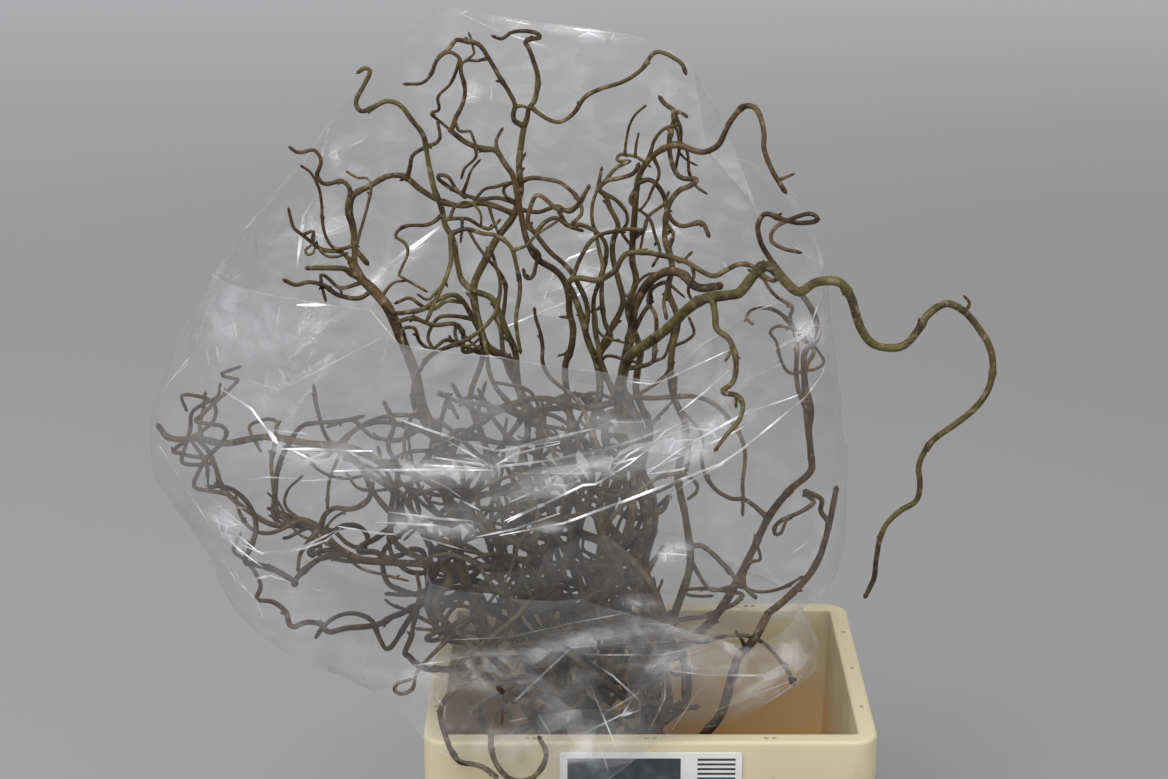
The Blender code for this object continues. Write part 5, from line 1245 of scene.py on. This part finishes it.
class Wood:
    """Points, faces and attributes of one stem with its twigs and buds."""

    def __init__(self, draw):
        self.points, self.faces, self.green, self.bud, self.shade = [], [], [], [], []
        self.dark = 0.0
        self.draw = draw

    def rings(self, centres, frames, radii, sides, green, bud):
        """Joins rings of points into a skin, closed at both ends."""
        turns = np.linspace(0, 2 * math.pi, sides, endpoint=False)
        circle = np.stack([np.cos(turns), np.sin(turns)], axis=1)
        skin = centres[:, None, :] + radii[..., None] * np.einsum("ka,iac->ikc", circle, frames)
        first, count = len(self.points), len(centres)
        self.points += [tuple(p) for p in skin.reshape(-1, 3)]
        self.green += [green] * (count * sides)
        self.bud += [bud] * (count * sides)
        self.shade += [self.dark] * (count * sides)
        for i in range(count - 1):
            low, high = first + i * sides, first + (i + 1) * sides
            for k in range(sides):
                on = (k + 1) % sides
                self.faces.append((low + k, low + on, high + on, high + k))
        self.faces.append(tuple(range(first + sides - 1, first - 1, -1)))
        last = first + (count - 1) * sides
        self.faces.append(tuple(range(last, last + sides)))

    def limb(self, line, green):
        """A stem or twig: knobbly, thicker at its buds and where it leaves its parent."""
        draw = self.draw
        path, radii = finer(line["points"], line["radii"])
        radii = radii * GIRTH
        # Painted shade on twigs that lie deep in the bunch
        self.dark = line.get("dark", 0.0)
        onward, frames = carried_frames(path)
        along = np.concatenate([[0], np.cumsum(np.linalg.norm(np.diff(path, axis=0), axis=1))])
        is_twig = line["parent"] is not None
        if is_twig:
            radii = radii * (1 + FORK_GROWTH * np.exp(-along / FORK_REACH))
        spacing = TWIG_BUDS if is_twig else STEM_BUDS
        knots, at = [], draw.uniform(*spacing)
        while at < along[-1] - 0.006:
            knots.append(at)
            at += draw.uniform(*spacing)
        for knot in knots:
            radii = radii * (1 + draw.uniform(*KNOT_GROWTH) * np.exp(-((along - knot) / KNOT_REACH) ** 2))
        sides = TWIG_SIDES if is_twig else STEM_SIDES
        count = len(path) // 4 + 3
        rough = np.array([[draw.gauss(0, ROUGHNESS_OF_GIRTH) for _ in range(sides)] for _ in range(count)])
        rows = np.linspace(0, len(rough) - 1.001, len(path))
        low = rows.astype(int)
        rough = rough[low] + (rough[low + 1] - rough[low]) * (rows - low)[:, None]
        self.rings(path, frames, radii[:, None] * (1 + rough), sides, green, 0.0)
        turn = draw.uniform(0, 2 * math.pi)
        for knot in knots:
            i = int(np.searchsorted(along, knot))
            turn += math.pi + draw.gauss(0, 0.5)
            outward = math.cos(turn) * frames[i][0] + math.sin(turn) * frames[i][1]
            size = draw.uniform(0.7, 1.25)
            heading = 1.1 * onward[i] + outward
            place = path[i] + outward * radii[i] * 0.8
            self.bud_at(place, heading, BUD_LENGTH * size, BUD_RADIUS * size, green)
        place = path[-1] - onward[-1] * END_BUD_SUNK
        self.bud_at(place, onward[-1], END_BUD_LENGTH, radii[-1] * 1.10, green)

    def bud_at(self, place, heading, length, radius, green):
        """A pointed bud."""
        heading = heading / np.linalg.norm(heading)
        shares = np.array([0.0, 0.25, 0.5, 0.78, 1.0])
        centres = place + heading * (shares * length)[:, None]
        _, frames = carried_frames(centres)
        radii = radius * np.array([0.75, 1.0, 0.92, 0.5, 0.08])
        self.rings(centres, frames, np.repeat(radii[:, None], 6, axis=1), 6, green, 1.0)


def keep_behind_film(lines):
    """Ends the newest twig where it would show above or right of the film, or reach the crate's wall.

    A twig that this leaves too short is taken out again.
    """
    points = lines[-1]["points"]
    across, down = pixel_of(points).T
    shown = (down < FILLING_TOP) | (across > FILLING_RIGHT[0] + FILLING_RIGHT[1] * (down - FILLING_TOP))
    walled = (points[:, 2] < CRATE_HEIGHT + 0.01) & (
        (np.abs(points[:, 0]) > FILLING_ROOM[0]) | (np.abs(points[:, 1]) > FILLING_ROOM[1]))
    outside = np.flatnonzero(shown | walled)
    count = outside[0] if len(outside) else len(points)
    # The kept twig gets painted shade, as it lies deep in the bunch
    lines[-1].update(points=points[:count], radii=lines[-1]["radii"][:count], dark=FILLING_PAINTED_SHADE)
    if count < LEAST_KEPT * len(points):
        lines.pop()


def add_small_twigs(bunch, mains, bag, draw):
    """Twigs too small for the part: those traced in the view, then seeded ones that fill the bunch."""
    for route in SMALL_TWIGS:
        gaps = [np.linalg.norm(pixel_of(line["points"]) - route[0], axis=1).min() for line in bunch.lines]
        bunch.twig(int(np.argmin(gaps)), SMALL_WIDTHS, route)
    mains = [main for main in mains if bunch.lines[main]["node"] != "stem_front"]
    for count, heights, lengths, widths, leans, turns in FILLING:
        for _ in range(count):
            main, turn = draw.choice(mains), draw.uniform(*turns)
            heading = (math.cos(turn), math.sin(turn), draw.uniform(*leans))
            height = CRATE_HEIGHT + draw.uniform(*heights)
            bunch.curl(main, height, draw.uniform(*lengths), heading, widths, bag, draw)
            keep_behind_film(bunch.lines)


def build_wood(bunch, bark, draw):
    """One piece for each stem, standing for its CAD node."""
    for node, greenness in GREENNESS.items():
        wood = Wood(draw)
        for line in bunch.lines:
            if line["node"] == node:
                wood.limb(line, min(1.0, max(0.0, greenness + draw.gauss(0, 0.12))))
        facts = {"green": wood.green, "bud": wood.bud, "shade": wood.shade}
        finished(mesh_piece(node + "_wood", wood.points, wood.faces, bark, **facts), node)


# The crate, its label and the tie

def rounded_profile(corners):
    """Points of a closed-off profile whose corners are rounded: each corner is inset, height and radius."""
    made = []
    for i, (inset, height, radius) in enumerate(corners):
        here = Vector((inset, height))
        if radius == 0:
            made.append(tuple(here))
            continue
        before = (Vector(corners[i - 1][:2]) - here).normalized()
        after = (Vector(corners[i + 1][:2]) - here).normalized()
        for step in range(ROUND_STEPS + 1):
            share = step / ROUND_STEPS
            made.append(tuple(here + before * radius * (1 - share) ** 2 + after * radius * share ** 2))
    return made


def build_crate(plastic):
    """The crate: a double-walled rim with a skirt, one tapered wall, a floor, ribs and drain holes."""
    top, inner = CRATE_HEIGHT, FLANGE + WALL_DRAFT
    profile = rounded_profile([
        (inner - WALL + 0.004, 0.0002, 0), (inner - WALL, 0.0002, 0.003),
        (FLANGE - WALL, top - RIM_THICKNESS, 0),
        (SKIRT_WALL, top - RIM_THICKNESS, 0), (SKIRT_WALL, top - SKIRT_HEIGHT, 0.0011),
        (0, top - SKIRT_HEIGHT, 0.0011), (0, top, 0.0042), (FLANGE, top, 0.0026), (inner, FLOOR_TOP, 0.006),
        (inner + 0.008, FLOOR_TOP, 0)])
    mesh = bmesh.new()
    rings = [[mesh.verts.new(v) for v in rounded_rectangle(inset, z)] for inset, z in profile]
    bridged(mesh, rings)
    mesh.faces.new(rings[0][::-1])
    mesh.faces.new(rings[-1])
    crate = mesh_object("crate_shell", mesh, plastic)
    cutters = [drilled_hole(x, y) for x, y in rim_holes()]
    boolean(crate, cutters, "DIFFERENCE")
    boolean(crate, build_ribs(), "UNION")
    smooth_by_angle(crate, 34)
    finished(crate, "crate")


def drilled_hole(x, y):
    """A cutter for one drain hole."""
    drill = bmesh.new()
    bmesh.ops.create_cone(drill, cap_ends=True, segments=20, radius1=HOLE_RADIUS, radius2=HOLE_RADIUS,
                          depth=4 * RIM_THICKNESS)
    bmesh.ops.translate(drill, verts=drill.verts, vec=(x, y, CRATE_HEIGHT))
    return mesh_object("hole", drill)


def build_ribs():
    """Upright ribs on the skirt, on either side of the label and opposite it, with rounded edges."""
    ribs = []
    for x in (-RIB_AT, RIB_AT):
        for y in (-CRATE_DEPTH / 2, CRATE_DEPTH / 2):
            mesh = bmesh.new()
            bmesh.ops.create_cube(mesh, size=1.0)
            bmesh.ops.scale(mesh, verts=mesh.verts, vec=RIB_SIZE)
            bmesh.ops.bevel(mesh, geom=mesh.edges[:], offset=0.0006, segments=2, affect="EDGES")
            bmesh.ops.translate(mesh, verts=mesh.verts, vec=(x, y, RIB_MIDDLE))
            ribs.append(mesh_object("rib", mesh))
    return ribs


def mesh_object(name, mesh, finish=None):
    """A scene object from a bmesh, its faces pointing out."""
    bmesh.ops.recalc_face_normals(mesh, faces=mesh.faces)
    data = bpy.data.meshes.new(name)
    mesh.to_mesh(data)
    mesh.free()
    made = bpy.data.objects.new(name, data)
    bpy.context.scene.collection.objects.link(made)
    if finish is not None:
        data.materials.append(finish)
    return made


def boolean(target, others, operation):
    """Applies one Boolean with each of the others to the target, and removes them."""
    for other in others:
        step = target.modifiers.new(operation.lower(), "BOOLEAN")
        step.operation, step.solver, step.object = operation, "EXACT", other
    bpy.context.view_layer.update()
    graph = bpy.context.evaluated_depsgraph_get()
    joined = bpy.data.meshes.new_from_object(target.evaluated_get(graph))
    target.modifiers.clear()
    target.data = joined
    for other in others:
        bpy.data.objects.remove(other)


def smooth_by_angle(made, degrees):
    """Smooth shading, with the edges sharper than an angle kept."""
    made.data.shade_smooth()
    made.data.set_sharp_from_angle(angle=math.radians(degrees))


def finished(piece, node):
    """A piece that stands for one CAD node."""
    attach(piece, "root")
    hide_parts(node)


def build_label(card):
    """The blank card on the crate's front, its corners round and its edge soft."""
    width, height = LABEL_SIZE
    front, back = -CRATE_DEPTH / 2 - SEAT_GAP - LABEL_THICKNESS, -CRATE_DEPTH / 2 - SEAT_GAP
    mesh = bmesh.new()
    rings = []
    for shrink, y in ((0.0, back), (0.0, front + 0.0003), (0.0003, front)):
        ring = []
        for quarter, (sx, sz) in enumerate(((1, 1), (-1, 1), (-1, -1), (1, -1))):
            for step in range(7):
                turn = math.radians(90 * quarter + 15 * step)
                reach = LABEL_CORNER - shrink
                x = sx * (width / 2 - LABEL_CORNER) + reach * math.cos(turn)
                z = LABEL_MIDDLE + sz * (height / 2 - LABEL_CORNER) + reach * math.sin(turn)
                ring.append(mesh.verts.new((x, y, z)))
        rings.append(ring)
    bridged(mesh, rings)
    mesh.faces.new(rings[0])
    mesh.faces.new(rings[-1][::-1])
    label = mesh_object("label_card", mesh, card)
    smooth_by_angle(label, 40)
    finished(label, "label_plate")


def build_tie(rubber):
    """The elastic tie, stretched round the feet of the tied stems."""
    def outline(radius):
        turns = [2 * math.pi * k / 24 for k in range(24)]
        marks = [(foot_x + radius * math.cos(t), foot_y + radius * math.sin(t))
                 for foot_x, foot_y in map(foot_at, TIED_SLOTS) for t in turns]
        return [marks[i] for i in convex_hull_2d(marks)]
    mesh = bmesh.new()
    inside = (STEM_FOOT_RADIUS + SEAT_GAP) / math.cos(math.pi / 24)
    thick, tall = TIE_SIZE
    rings = []
    for step in range(8):
        turn = 2 * math.pi * (step + 0.5) / 8
        radius = inside + thick / 2 + 0.55 * thick * math.cos(turn)
        z = TIE_HEIGHT + 0.52 * tall * math.copysign(abs(math.sin(turn)) ** 0.4, math.sin(turn))
        rings.append([mesh.verts.new((x, y, z)) for x, y in outline(radius)])
    bridged(mesh, rings + rings[:1])
    tie = mesh_object("rubber_tie", mesh, rubber)
    smooth_by_angle(tie, 50)
    finished(tie, "tie_band")


# Materials

class Finish:
    """A material on one Principled shader, with short calls for its nodes."""

    def __init__(self, name, **constants):
        self.material = bpy.data.materials.new(name)
        self.material.use_nodes = True
        self.tree = self.material.node_tree
        self.shader = self.tree.nodes["Principled BSDF"]
        for socket, value in constants.items():
            self.shader.inputs[socket.replace("_", " ")].default_value = value
        self.place = self.node("ShaderNodeTexCoord").outputs["Object"]

    def node(self, kind, inputs=(), **settings):
        made = self.tree.nodes.new(kind)
        for key, value in settings.items():
            setattr(made, key, value)
        for socket, value in dict(inputs).items():
            self.feed(made.inputs[socket], value)
        return made

    def feed(self, socket, value):
        if isinstance(value, bpy.types.NodeSocket):
            self.tree.links.new(value, socket)
        else:
            socket.default_value = value

    def set(self, socket, value):
        self.feed(self.shader.inputs[socket], value)

    def stretched(self, stretch, turned=(0.0, 0.0, 0.0)):
        return self.node("ShaderNodeMapping", {0: self.place, 3: stretch, 2: turned}).outputs[0]

    def noise(self, scale, detail=3.0, distortion=0.0, stretch=None, turned=(0.0, 0.0, 0.0)):
        place = self.place if stretch is None else self.stretched(stretch, turned)
        made = self.node("ShaderNodeTexNoise", {"Vector": place, "Scale": scale, "Detail": detail,
                                                "Distortion": distortion})
        return made.outputs[0]

    def fact(self, name):
        return self.node("ShaderNodeAttribute", attribute_name=name).outputs["Fac"]

    def math(self, operation, a, b=0.0, clamp=False):
        return self.node("ShaderNodeMath", {0: a, 1: b}, operation=operation, use_clamp=clamp).outputs[0]

    def ramp(self, value, low, high, start=0.0, end=1.0):
        """Value from low to high, eased and given as start to end."""
        made = self.node("ShaderNodeMapRange", {0: value, 1: low, 2: high, 3: start, 4: end},
                         interpolation_type="SMOOTHSTEP")
        return made.outputs[0]

    def mix(self, share, a, b):
        made = self.node("ShaderNodeMix", data_type="RGBA")
        for socket, value in ((0, share), (6, a), (7, b)):
            self.feed(made.inputs[socket], (*value, 1.0) if isinstance(value, tuple) else value)
        return made.outputs[2]

    def height(self):
        """How high the surface is, and where it is along and across."""
        parts = self.node("ShaderNodeSeparateXYZ", {0: self.place})
        return parts.outputs[0], parts.outputs[1], parts.outputs[2]

    def bump(self, value, strength, distance, below=None):
        made = self.node("ShaderNodeBump", {"Height": value, "Strength": strength, "Distance": distance})
        if below is not None:
            self.feed(made.inputs["Normal"], below)
        return made.outputs[0]


def bark_finish():
    """Hazel bark: brown to olive, mottled along the stem, with pale pores, and reddish buds."""
    f = Finish("hazel_bark", Specular_IOR_Level=0.22)
    patches = f.math("MULTIPLY", f.math("SUBTRACT", f.noise(9.0), 0.5), 1.1)
    green = f.math("ADD", f.fact("green"), patches, clamp=True)
    base = f.mix(green, BARK_BROWN, BARK_OLIVE)
    base = f.mix(f.ramp(f.noise(42.0, 5.0), 0.42, 0.64, 0.0, 0.85), base, BARK_DARK)
    base = f.mix(f.ramp(f.noise(130.0, 3.0), 0.52, 0.74, 0.0, 0.55), base, BARK_PALE)
    pores = f.node("ShaderNodeTexVoronoi", {"Vector": f.place, "Scale": 260.0}).outputs["Distance"]
    base = f.mix(f.ramp(pores, 0.10, 0.20, 0.55, 0.0), base, BARK_PORE)
    # Painted shade on the filling twigs deep in the bunch
    base = f.mix(f.fact("shade"), base, BARK_DARK)
    bud = f.fact("bud")
    base = f.mix(f.math("MULTIPLY", bud, 0.75), base, BUD_BROWN)
    f.set("Base Color", base)
    f.set("Roughness", f.ramp(f.noise(60.0), 0.3, 0.7, 0.48, 0.74))
    grain = f.bump(f.noise(320.0, 4.0), 0.5, 0.0005)
    f.set("Normal", f.bump(pores, 0.25, 0.0004, grain))
    return f.material


def film_finish(name, facet_change, fold_share):
    """Thin clear film: nearly nothing where it lies smooth, milky where crumpled, white along its folds.

    The white of folds, crumple lines and sheen areas is partly the film's own whitening and partly painted
    highlight. Folds and sheen areas also glow with a little painted light of their own, standing in for what
    thin film scatters from behind.
    """
    f = Finish(name, IOR=1.5, Emission_Color=(*FILM_WHITE, 1.0))
    uneven = f.ramp(f.noise(40.0, 3.0, 0.5), 0.34, 0.66, 0.50, 1.15)
    fold = f.math("MULTIPLY", f.math("MULTIPLY", f.fact("fold"), fold_share), uneven)
    cells = f.stretched((1.0, 1.0, 2.2), (0.5, 0.35, 0.0))
    def facets(scale, low, high):
        made = f.node("ShaderNodeTexVoronoi", {"Vector": cells, "Scale": scale}).outputs["Color"]
        return f.ramp(made, 0.30, 0.70, low, high)
    sheen = f.math("MULTIPLY", f.fact("sheen"), f.ramp(f.noise(22.0, 4.0, 1.2), 0.34, 0.66, 0.30, 1.15))
    sheen = f.math("MULTIPLY", sheen, facets(CRUMPLES, 0.60, 1.30))
    mottle = f.ramp(f.noise(8.0, 4.0, 0.8), 0.30, 0.72, 0.62, 1.38)
    milk = f.math("MULTIPLY", f.math("MULTIPLY", f.fact("haze"), mottle),
                  facets(FACETS, 1 - facet_change, 1 + facet_change))
    milk = f.math("ADD", milk, sheen)
    # White crumple lines in the sheen areas: partly the film's whitening, partly painted highlight
    borders = f.node("ShaderNodeTexVoronoi", {"Vector": cells, "Scale": CRUMPLES}, feature="DISTANCE_TO_EDGE")
    line = f.ramp(borders.outputs["Distance"], 0.010, 0.045, 1.0, 0.0)
    line = f.math("MULTIPLY", line, f.ramp(f.noise(30.0, 2.0), 0.40, 0.62))
    line = f.math("MULTIPLY", line, f.ramp(f.fact("sheen"), 0.10, 0.45, 0.0, FINE_LINE_SHARE))
    facing = f.node("ShaderNodeLayerWeight", {"Blend": 0.5}).outputs["Facing"]
    rim = f.math("MULTIPLY", f.math("POWER", facing, 4.0), EDGE_HAZE)
    alpha = f.math("ADD", f.math("ADD", milk, rim), f.math("ADD", line, fold), clamp=True)
    # How white the film is: folds and crumple lines, partly own whitening and partly painted highlight, and
    # the painted shine of the sheen areas
    shine = f.math("DIVIDE", sheen, f.math("ADD", milk, 0.03))
    white = f.math("ADD", f.math("ADD", fold, line), f.math("MULTIPLY", shine, 0.8), clamp=True)
    f.set("Base Color", f.mix(white, FILM_TINT, FILM_WHITE))
    f.set("Alpha", f.math("MINIMUM", alpha, 0.96))
    # Painted glow of the folds and of the painted shine
    glow = f.math("ADD", f.math("MULTIPLY", fold, FOLD_GLOW), f.math("MULTIPLY", shine, SHEEN_GLOW))
    f.set("Emission Strength", glow)
    f.set("Roughness", f.ramp(f.noise(30.0), 0.3, 0.7, 0.12, 0.30))
    wrinkles = f.bump(f.noise(26.0, 4.0, 1.4), 0.55, 0.0035)
    f.set("Normal", f.bump(f.noise(120.0, 2.0, 0.6), 0.25, 0.0008, wrinkles))
    return f.material


def crate_finish():
    """Cream crate plastic: painted warm light inside, stronger low down, scuffed, with a fine grain."""
    f = Finish("cream_plastic")
    across, along, up = f.height()
    draft = f.ramp(up, 0.0, CRATE_HEIGHT, WALL_DRAFT, 0.0)
    def within(value, limit):
        return f.ramp(f.math("ADD", f.math("ABSOLUTE", value), draft), limit, limit + WALL / 2, 1.0, 0.0)
    inside = f.math("MULTIPLY", within(across, INSIDE_X), within(along, INSIDE_Y))
    depth = f.ramp(up, CRATE_HEIGHT - 0.15, CRATE_HEIGHT - 0.004, 1.0, 0.0)
    base = f.mix(f.ramp(f.noise(6.0, 4.0), 0.35, 0.65), CREAM, CREAM_WORN)
    # Painted warm light inside the crate, stronger deeper down
    base = f.mix(f.math("MULTIPLY", inside, f.math("MULTIPLY", depth, 0.9)), base, CREAM_PAINTED_WARM_LIGHT)
    scuffs = f.ramp(f.noise(38.0, 6.0, 0.4, (1.0, 1.0, 0.22), (0.0, 0.0, 0.0)), 0.60, 0.72, 0.0, 0.30)
    base = f.mix(scuffs, base, SCUFF)
    specks = f.node("ShaderNodeTexVoronoi", {"Vector": f.place, "Scale": 70.0}).outputs["Distance"]
    specks = f.math("MULTIPLY", f.ramp(specks, 0.03, 0.06, 0.8, 0.0), f.ramp(f.noise(9.0), 0.55, 0.66))
    base = f.mix(specks, base, SPECK)
    f.set("Base Color", base)
    f.set("Roughness", f.ramp(f.noise(22.0, 4.0), 0.3, 0.7, 0.40, 0.62))
    grain = f.bump(f.noise(900.0, 2.0), 0.18, 0.0003)
    f.set("Normal", f.bump(f.noise(7.0, 2.0), 0.15, 0.002, grain))
    return f.material


def label_finish():
    """White card with a plain dark panel and an evenly ruled block, and nothing written."""
    f = Finish("label_card", Specular_IOR_Level=0.5)
    across, _, up = f.height()
    def inside(value, low, high):
        above = f.ramp(value, low - PRINT_EDGE, low)
        return f.math("MULTIPLY", above, f.ramp(value, high, high + PRINT_EDGE, 1.0, 0.0))
    panel = f.math("MULTIPLY", inside(across, *PANEL_X), inside(up, *PANEL_Z))
    block = f.math("MULTIPLY", inside(across, *BLOCK_X), inside(up, *BLOCK_Z))
    rule = f.math("SINE", f.math("MULTIPLY", up, 2 * math.pi / RULE_PITCH))
    block = f.math("MULTIPLY", block, f.ramp(rule, -0.15, 0.15))
    paper = f.mix(f.ramp(f.noise(25.0, 4.0), 0.35, 0.7), CARD, CARD_WORN)
    ink = f.mix(f.ramp(f.noise(60.0, 4.0), 0.4, 0.75), INK, INK_WORN)
    f.set("Base Color", f.mix(f.math("MAXIMUM", panel, block), paper, ink))
    f.set("Roughness", f.ramp(f.noise(40.0), 0.3, 0.7, 0.34, 0.5))
    f.set("Normal", f.bump(f.noise(18.0, 3.0), 0.2, 0.001))
    return f.material


def rubber_finish():
    """A tan elastic band, dusty and finely ribbed."""
    f = Finish("tan_rubber", Specular_IOR_Level=0.3)
    _, _, up = f.height()
    f.set("Base Color", f.mix(f.ramp(f.noise(70.0, 4.0), 0.35, 0.7), RUBBER, RUBBER_DUST))
    f.set("Roughness", f.ramp(f.noise(90.0), 0.3, 0.7, 0.55, 0.85))
    f.set("Normal", f.bump(f.math("SINE", f.math("MULTIPLY", up, 5200.0)), 0.3, 0.0002))
    return f.material


def floor_finish():
    """A pale studio floor, with painted light far off and painted shade towards the right."""
    f = Finish("studio_floor", Roughness=0.9, Specular_IOR_Level=0.1)
    across, along, _ = f.height()
    base = f.mix(f.ramp(f.noise(0.35, 2.0), 0.3, 0.7), FLOOR_GREY, FLOOR_LIGHT)
    # Painted shade towards the right and painted light far off
    base = f.mix(f.ramp(across, -1.6, 1.4, 0.0, 0.8), base, FLOOR_PAINTED_SHADE_RIGHT)
    f.set("Base Color", f.mix(f.ramp(along, 2.0, 7.0, 0.0, 0.9), base, FLOOR_PAINTED_LIGHT_FAR))
    f.set("Normal", f.bump(f.noise(60.0, 3.0), 0.05, 0.001))
    return f.material


# The set

def build_floor():
    """A wide floor, so that it fills the view."""
    mesh = bmesh.new()
    bmesh.ops.create_grid(mesh, x_segments=8, y_segments=8, size=FLOOR_SIZE / 2)
    floor = mesh_object("floor", mesh, floor_finish())


def area_light(name, place, aim, size, power):
    """A soft rectangular light at a place, turned to a point."""
    lamp = bpy.data.lights.new(name, "AREA")
    lamp.shape, lamp.energy = "RECTANGLE", power
    lamp.size, lamp.size_y = size
    made = bpy.data.objects.new(name, lamp)
    made.location = place
    made.rotation_euler = (Vector(aim) - Vector(place)).to_track_quat("-Z", "Y").to_euler()
    bpy.context.scene.collection.objects.link(made)


def build_light():
    """Even studio light: a grey surround, a wide soft sun and strip lights that draw the film's folds."""
    world = bpy.data.worlds.new("studio")
    world.use_nodes = True
    surround = world.node_tree.nodes["Background"]
    surround.inputs["Color"].default_value = (*SURROUND_COLOUR, 1.0)
    surround.inputs["Strength"].default_value = SURROUND
    bpy.context.scene.world = world
    sun = bpy.data.lights.new("soft_sun", "SUN")
    sun.energy, sun.angle = SUN_STRENGTH, math.radians(SUN_WIDTH)
    lamp = bpy.data.objects.new("soft_sun", sun)
    lamp.rotation_euler = Vector(SUN_FROM).to_track_quat("Z", "Y").to_euler()
    bpy.context.scene.collection.objects.link(lamp)
    for name, place, size, power in STRIPS:
        area_light(name, place, (-0.08, 0.0, CRATE_HEIGHT + 0.3), size, power)


def build_camera():
    """The camera at the photograph's viewing angle."""
    camera = bpy.data.cameras.new("camera")
    camera.sensor_width = SENSOR
    camera.sensor_fit = "HORIZONTAL"
    camera.lens = PIXELS_PER_RADIAN / (2 * VIEW_MIDDLE[0]) * SENSOR
    camera.clip_end = 200.0
    made = bpy.data.objects.new("camera", camera)
    made.location = EYE
    made.rotation_euler = (math.pi / 2 - EYE_TILT, 0.0, 0.0)
    bpy.context.scene.collection.objects.link(made)
    bpy.context.scene.camera = made


def settled_bunch(bag, lower):
    """The part's own centre lines, bent clear of each other, then the small twigs."""
    draw = random.Random(SEED)
    bunch = Bunch()
    mains = {}
    for grow, count, leaning in STEMS:
        mains[grow(bunch)] = (count, leaning)
    add_curls(bunch, mains, bag, draw)
    shell = bmesh.new()
    shell.from_mesh(frame["nodes"]["crate"].data)
    settle(bunch, (bag, lower), BVHTree.FromBMesh(shell))
    shell.free()
    add_small_twigs(bunch, list(mains), bag, draw)
    return bunch


def main():
    bpy.context.scene.view_settings.view_transform = "Standard"
    bpy.context.scene.cycles.transparent_max_bounces = 48
    build_camera()
    build_light()
    build_floor()
    cad_turns = np.linspace(0, 2 * math.pi, SLEEVE_COLUMNS, endpoint=False)
    bag = surface_tree(main_sleeve_rows(cad_turns, MAIN_CAD_ROWS))
    lower = surface_tree(collar_rows(cad_turns, LOWER_CAD_ROWS))
    bunch = settled_bunch(bag, lower)
    build_wood(bunch, bark_finish(), random.Random(SEED + 1))
    draw = random.Random(SEED + 2)
    rows = main_sleeve_rows(film_turns(MAIN_COLUMNS), MAIN_ROWS)
    build_film("main_film", "main_sleeve", rows, film_haze(rows, FRONT_HAZE, BACK_HAZE),
               seeded_creases(rows, MAIN_CREASES, draw), MAIN_FOLDS,
               film_finish("clear_film", *MAIN_LOOK), draw)
    rows = collar_rows(film_turns(LOWER_COLUMNS), LOWER_ROWS)
    build_film("lower_film", "lower_sleeve", rows, film_haze(rows, LOWER_HAZE, BACK_HAZE),
               seeded_creases(rows, LOWER_CREASES, draw), LOWER_FOLDS,
               film_finish("lower_clear_film", *LOWER_LOOK), draw)
    build_crate(crate_finish())
    build_label(label_finish())
    build_tie(rubber_finish())


main()
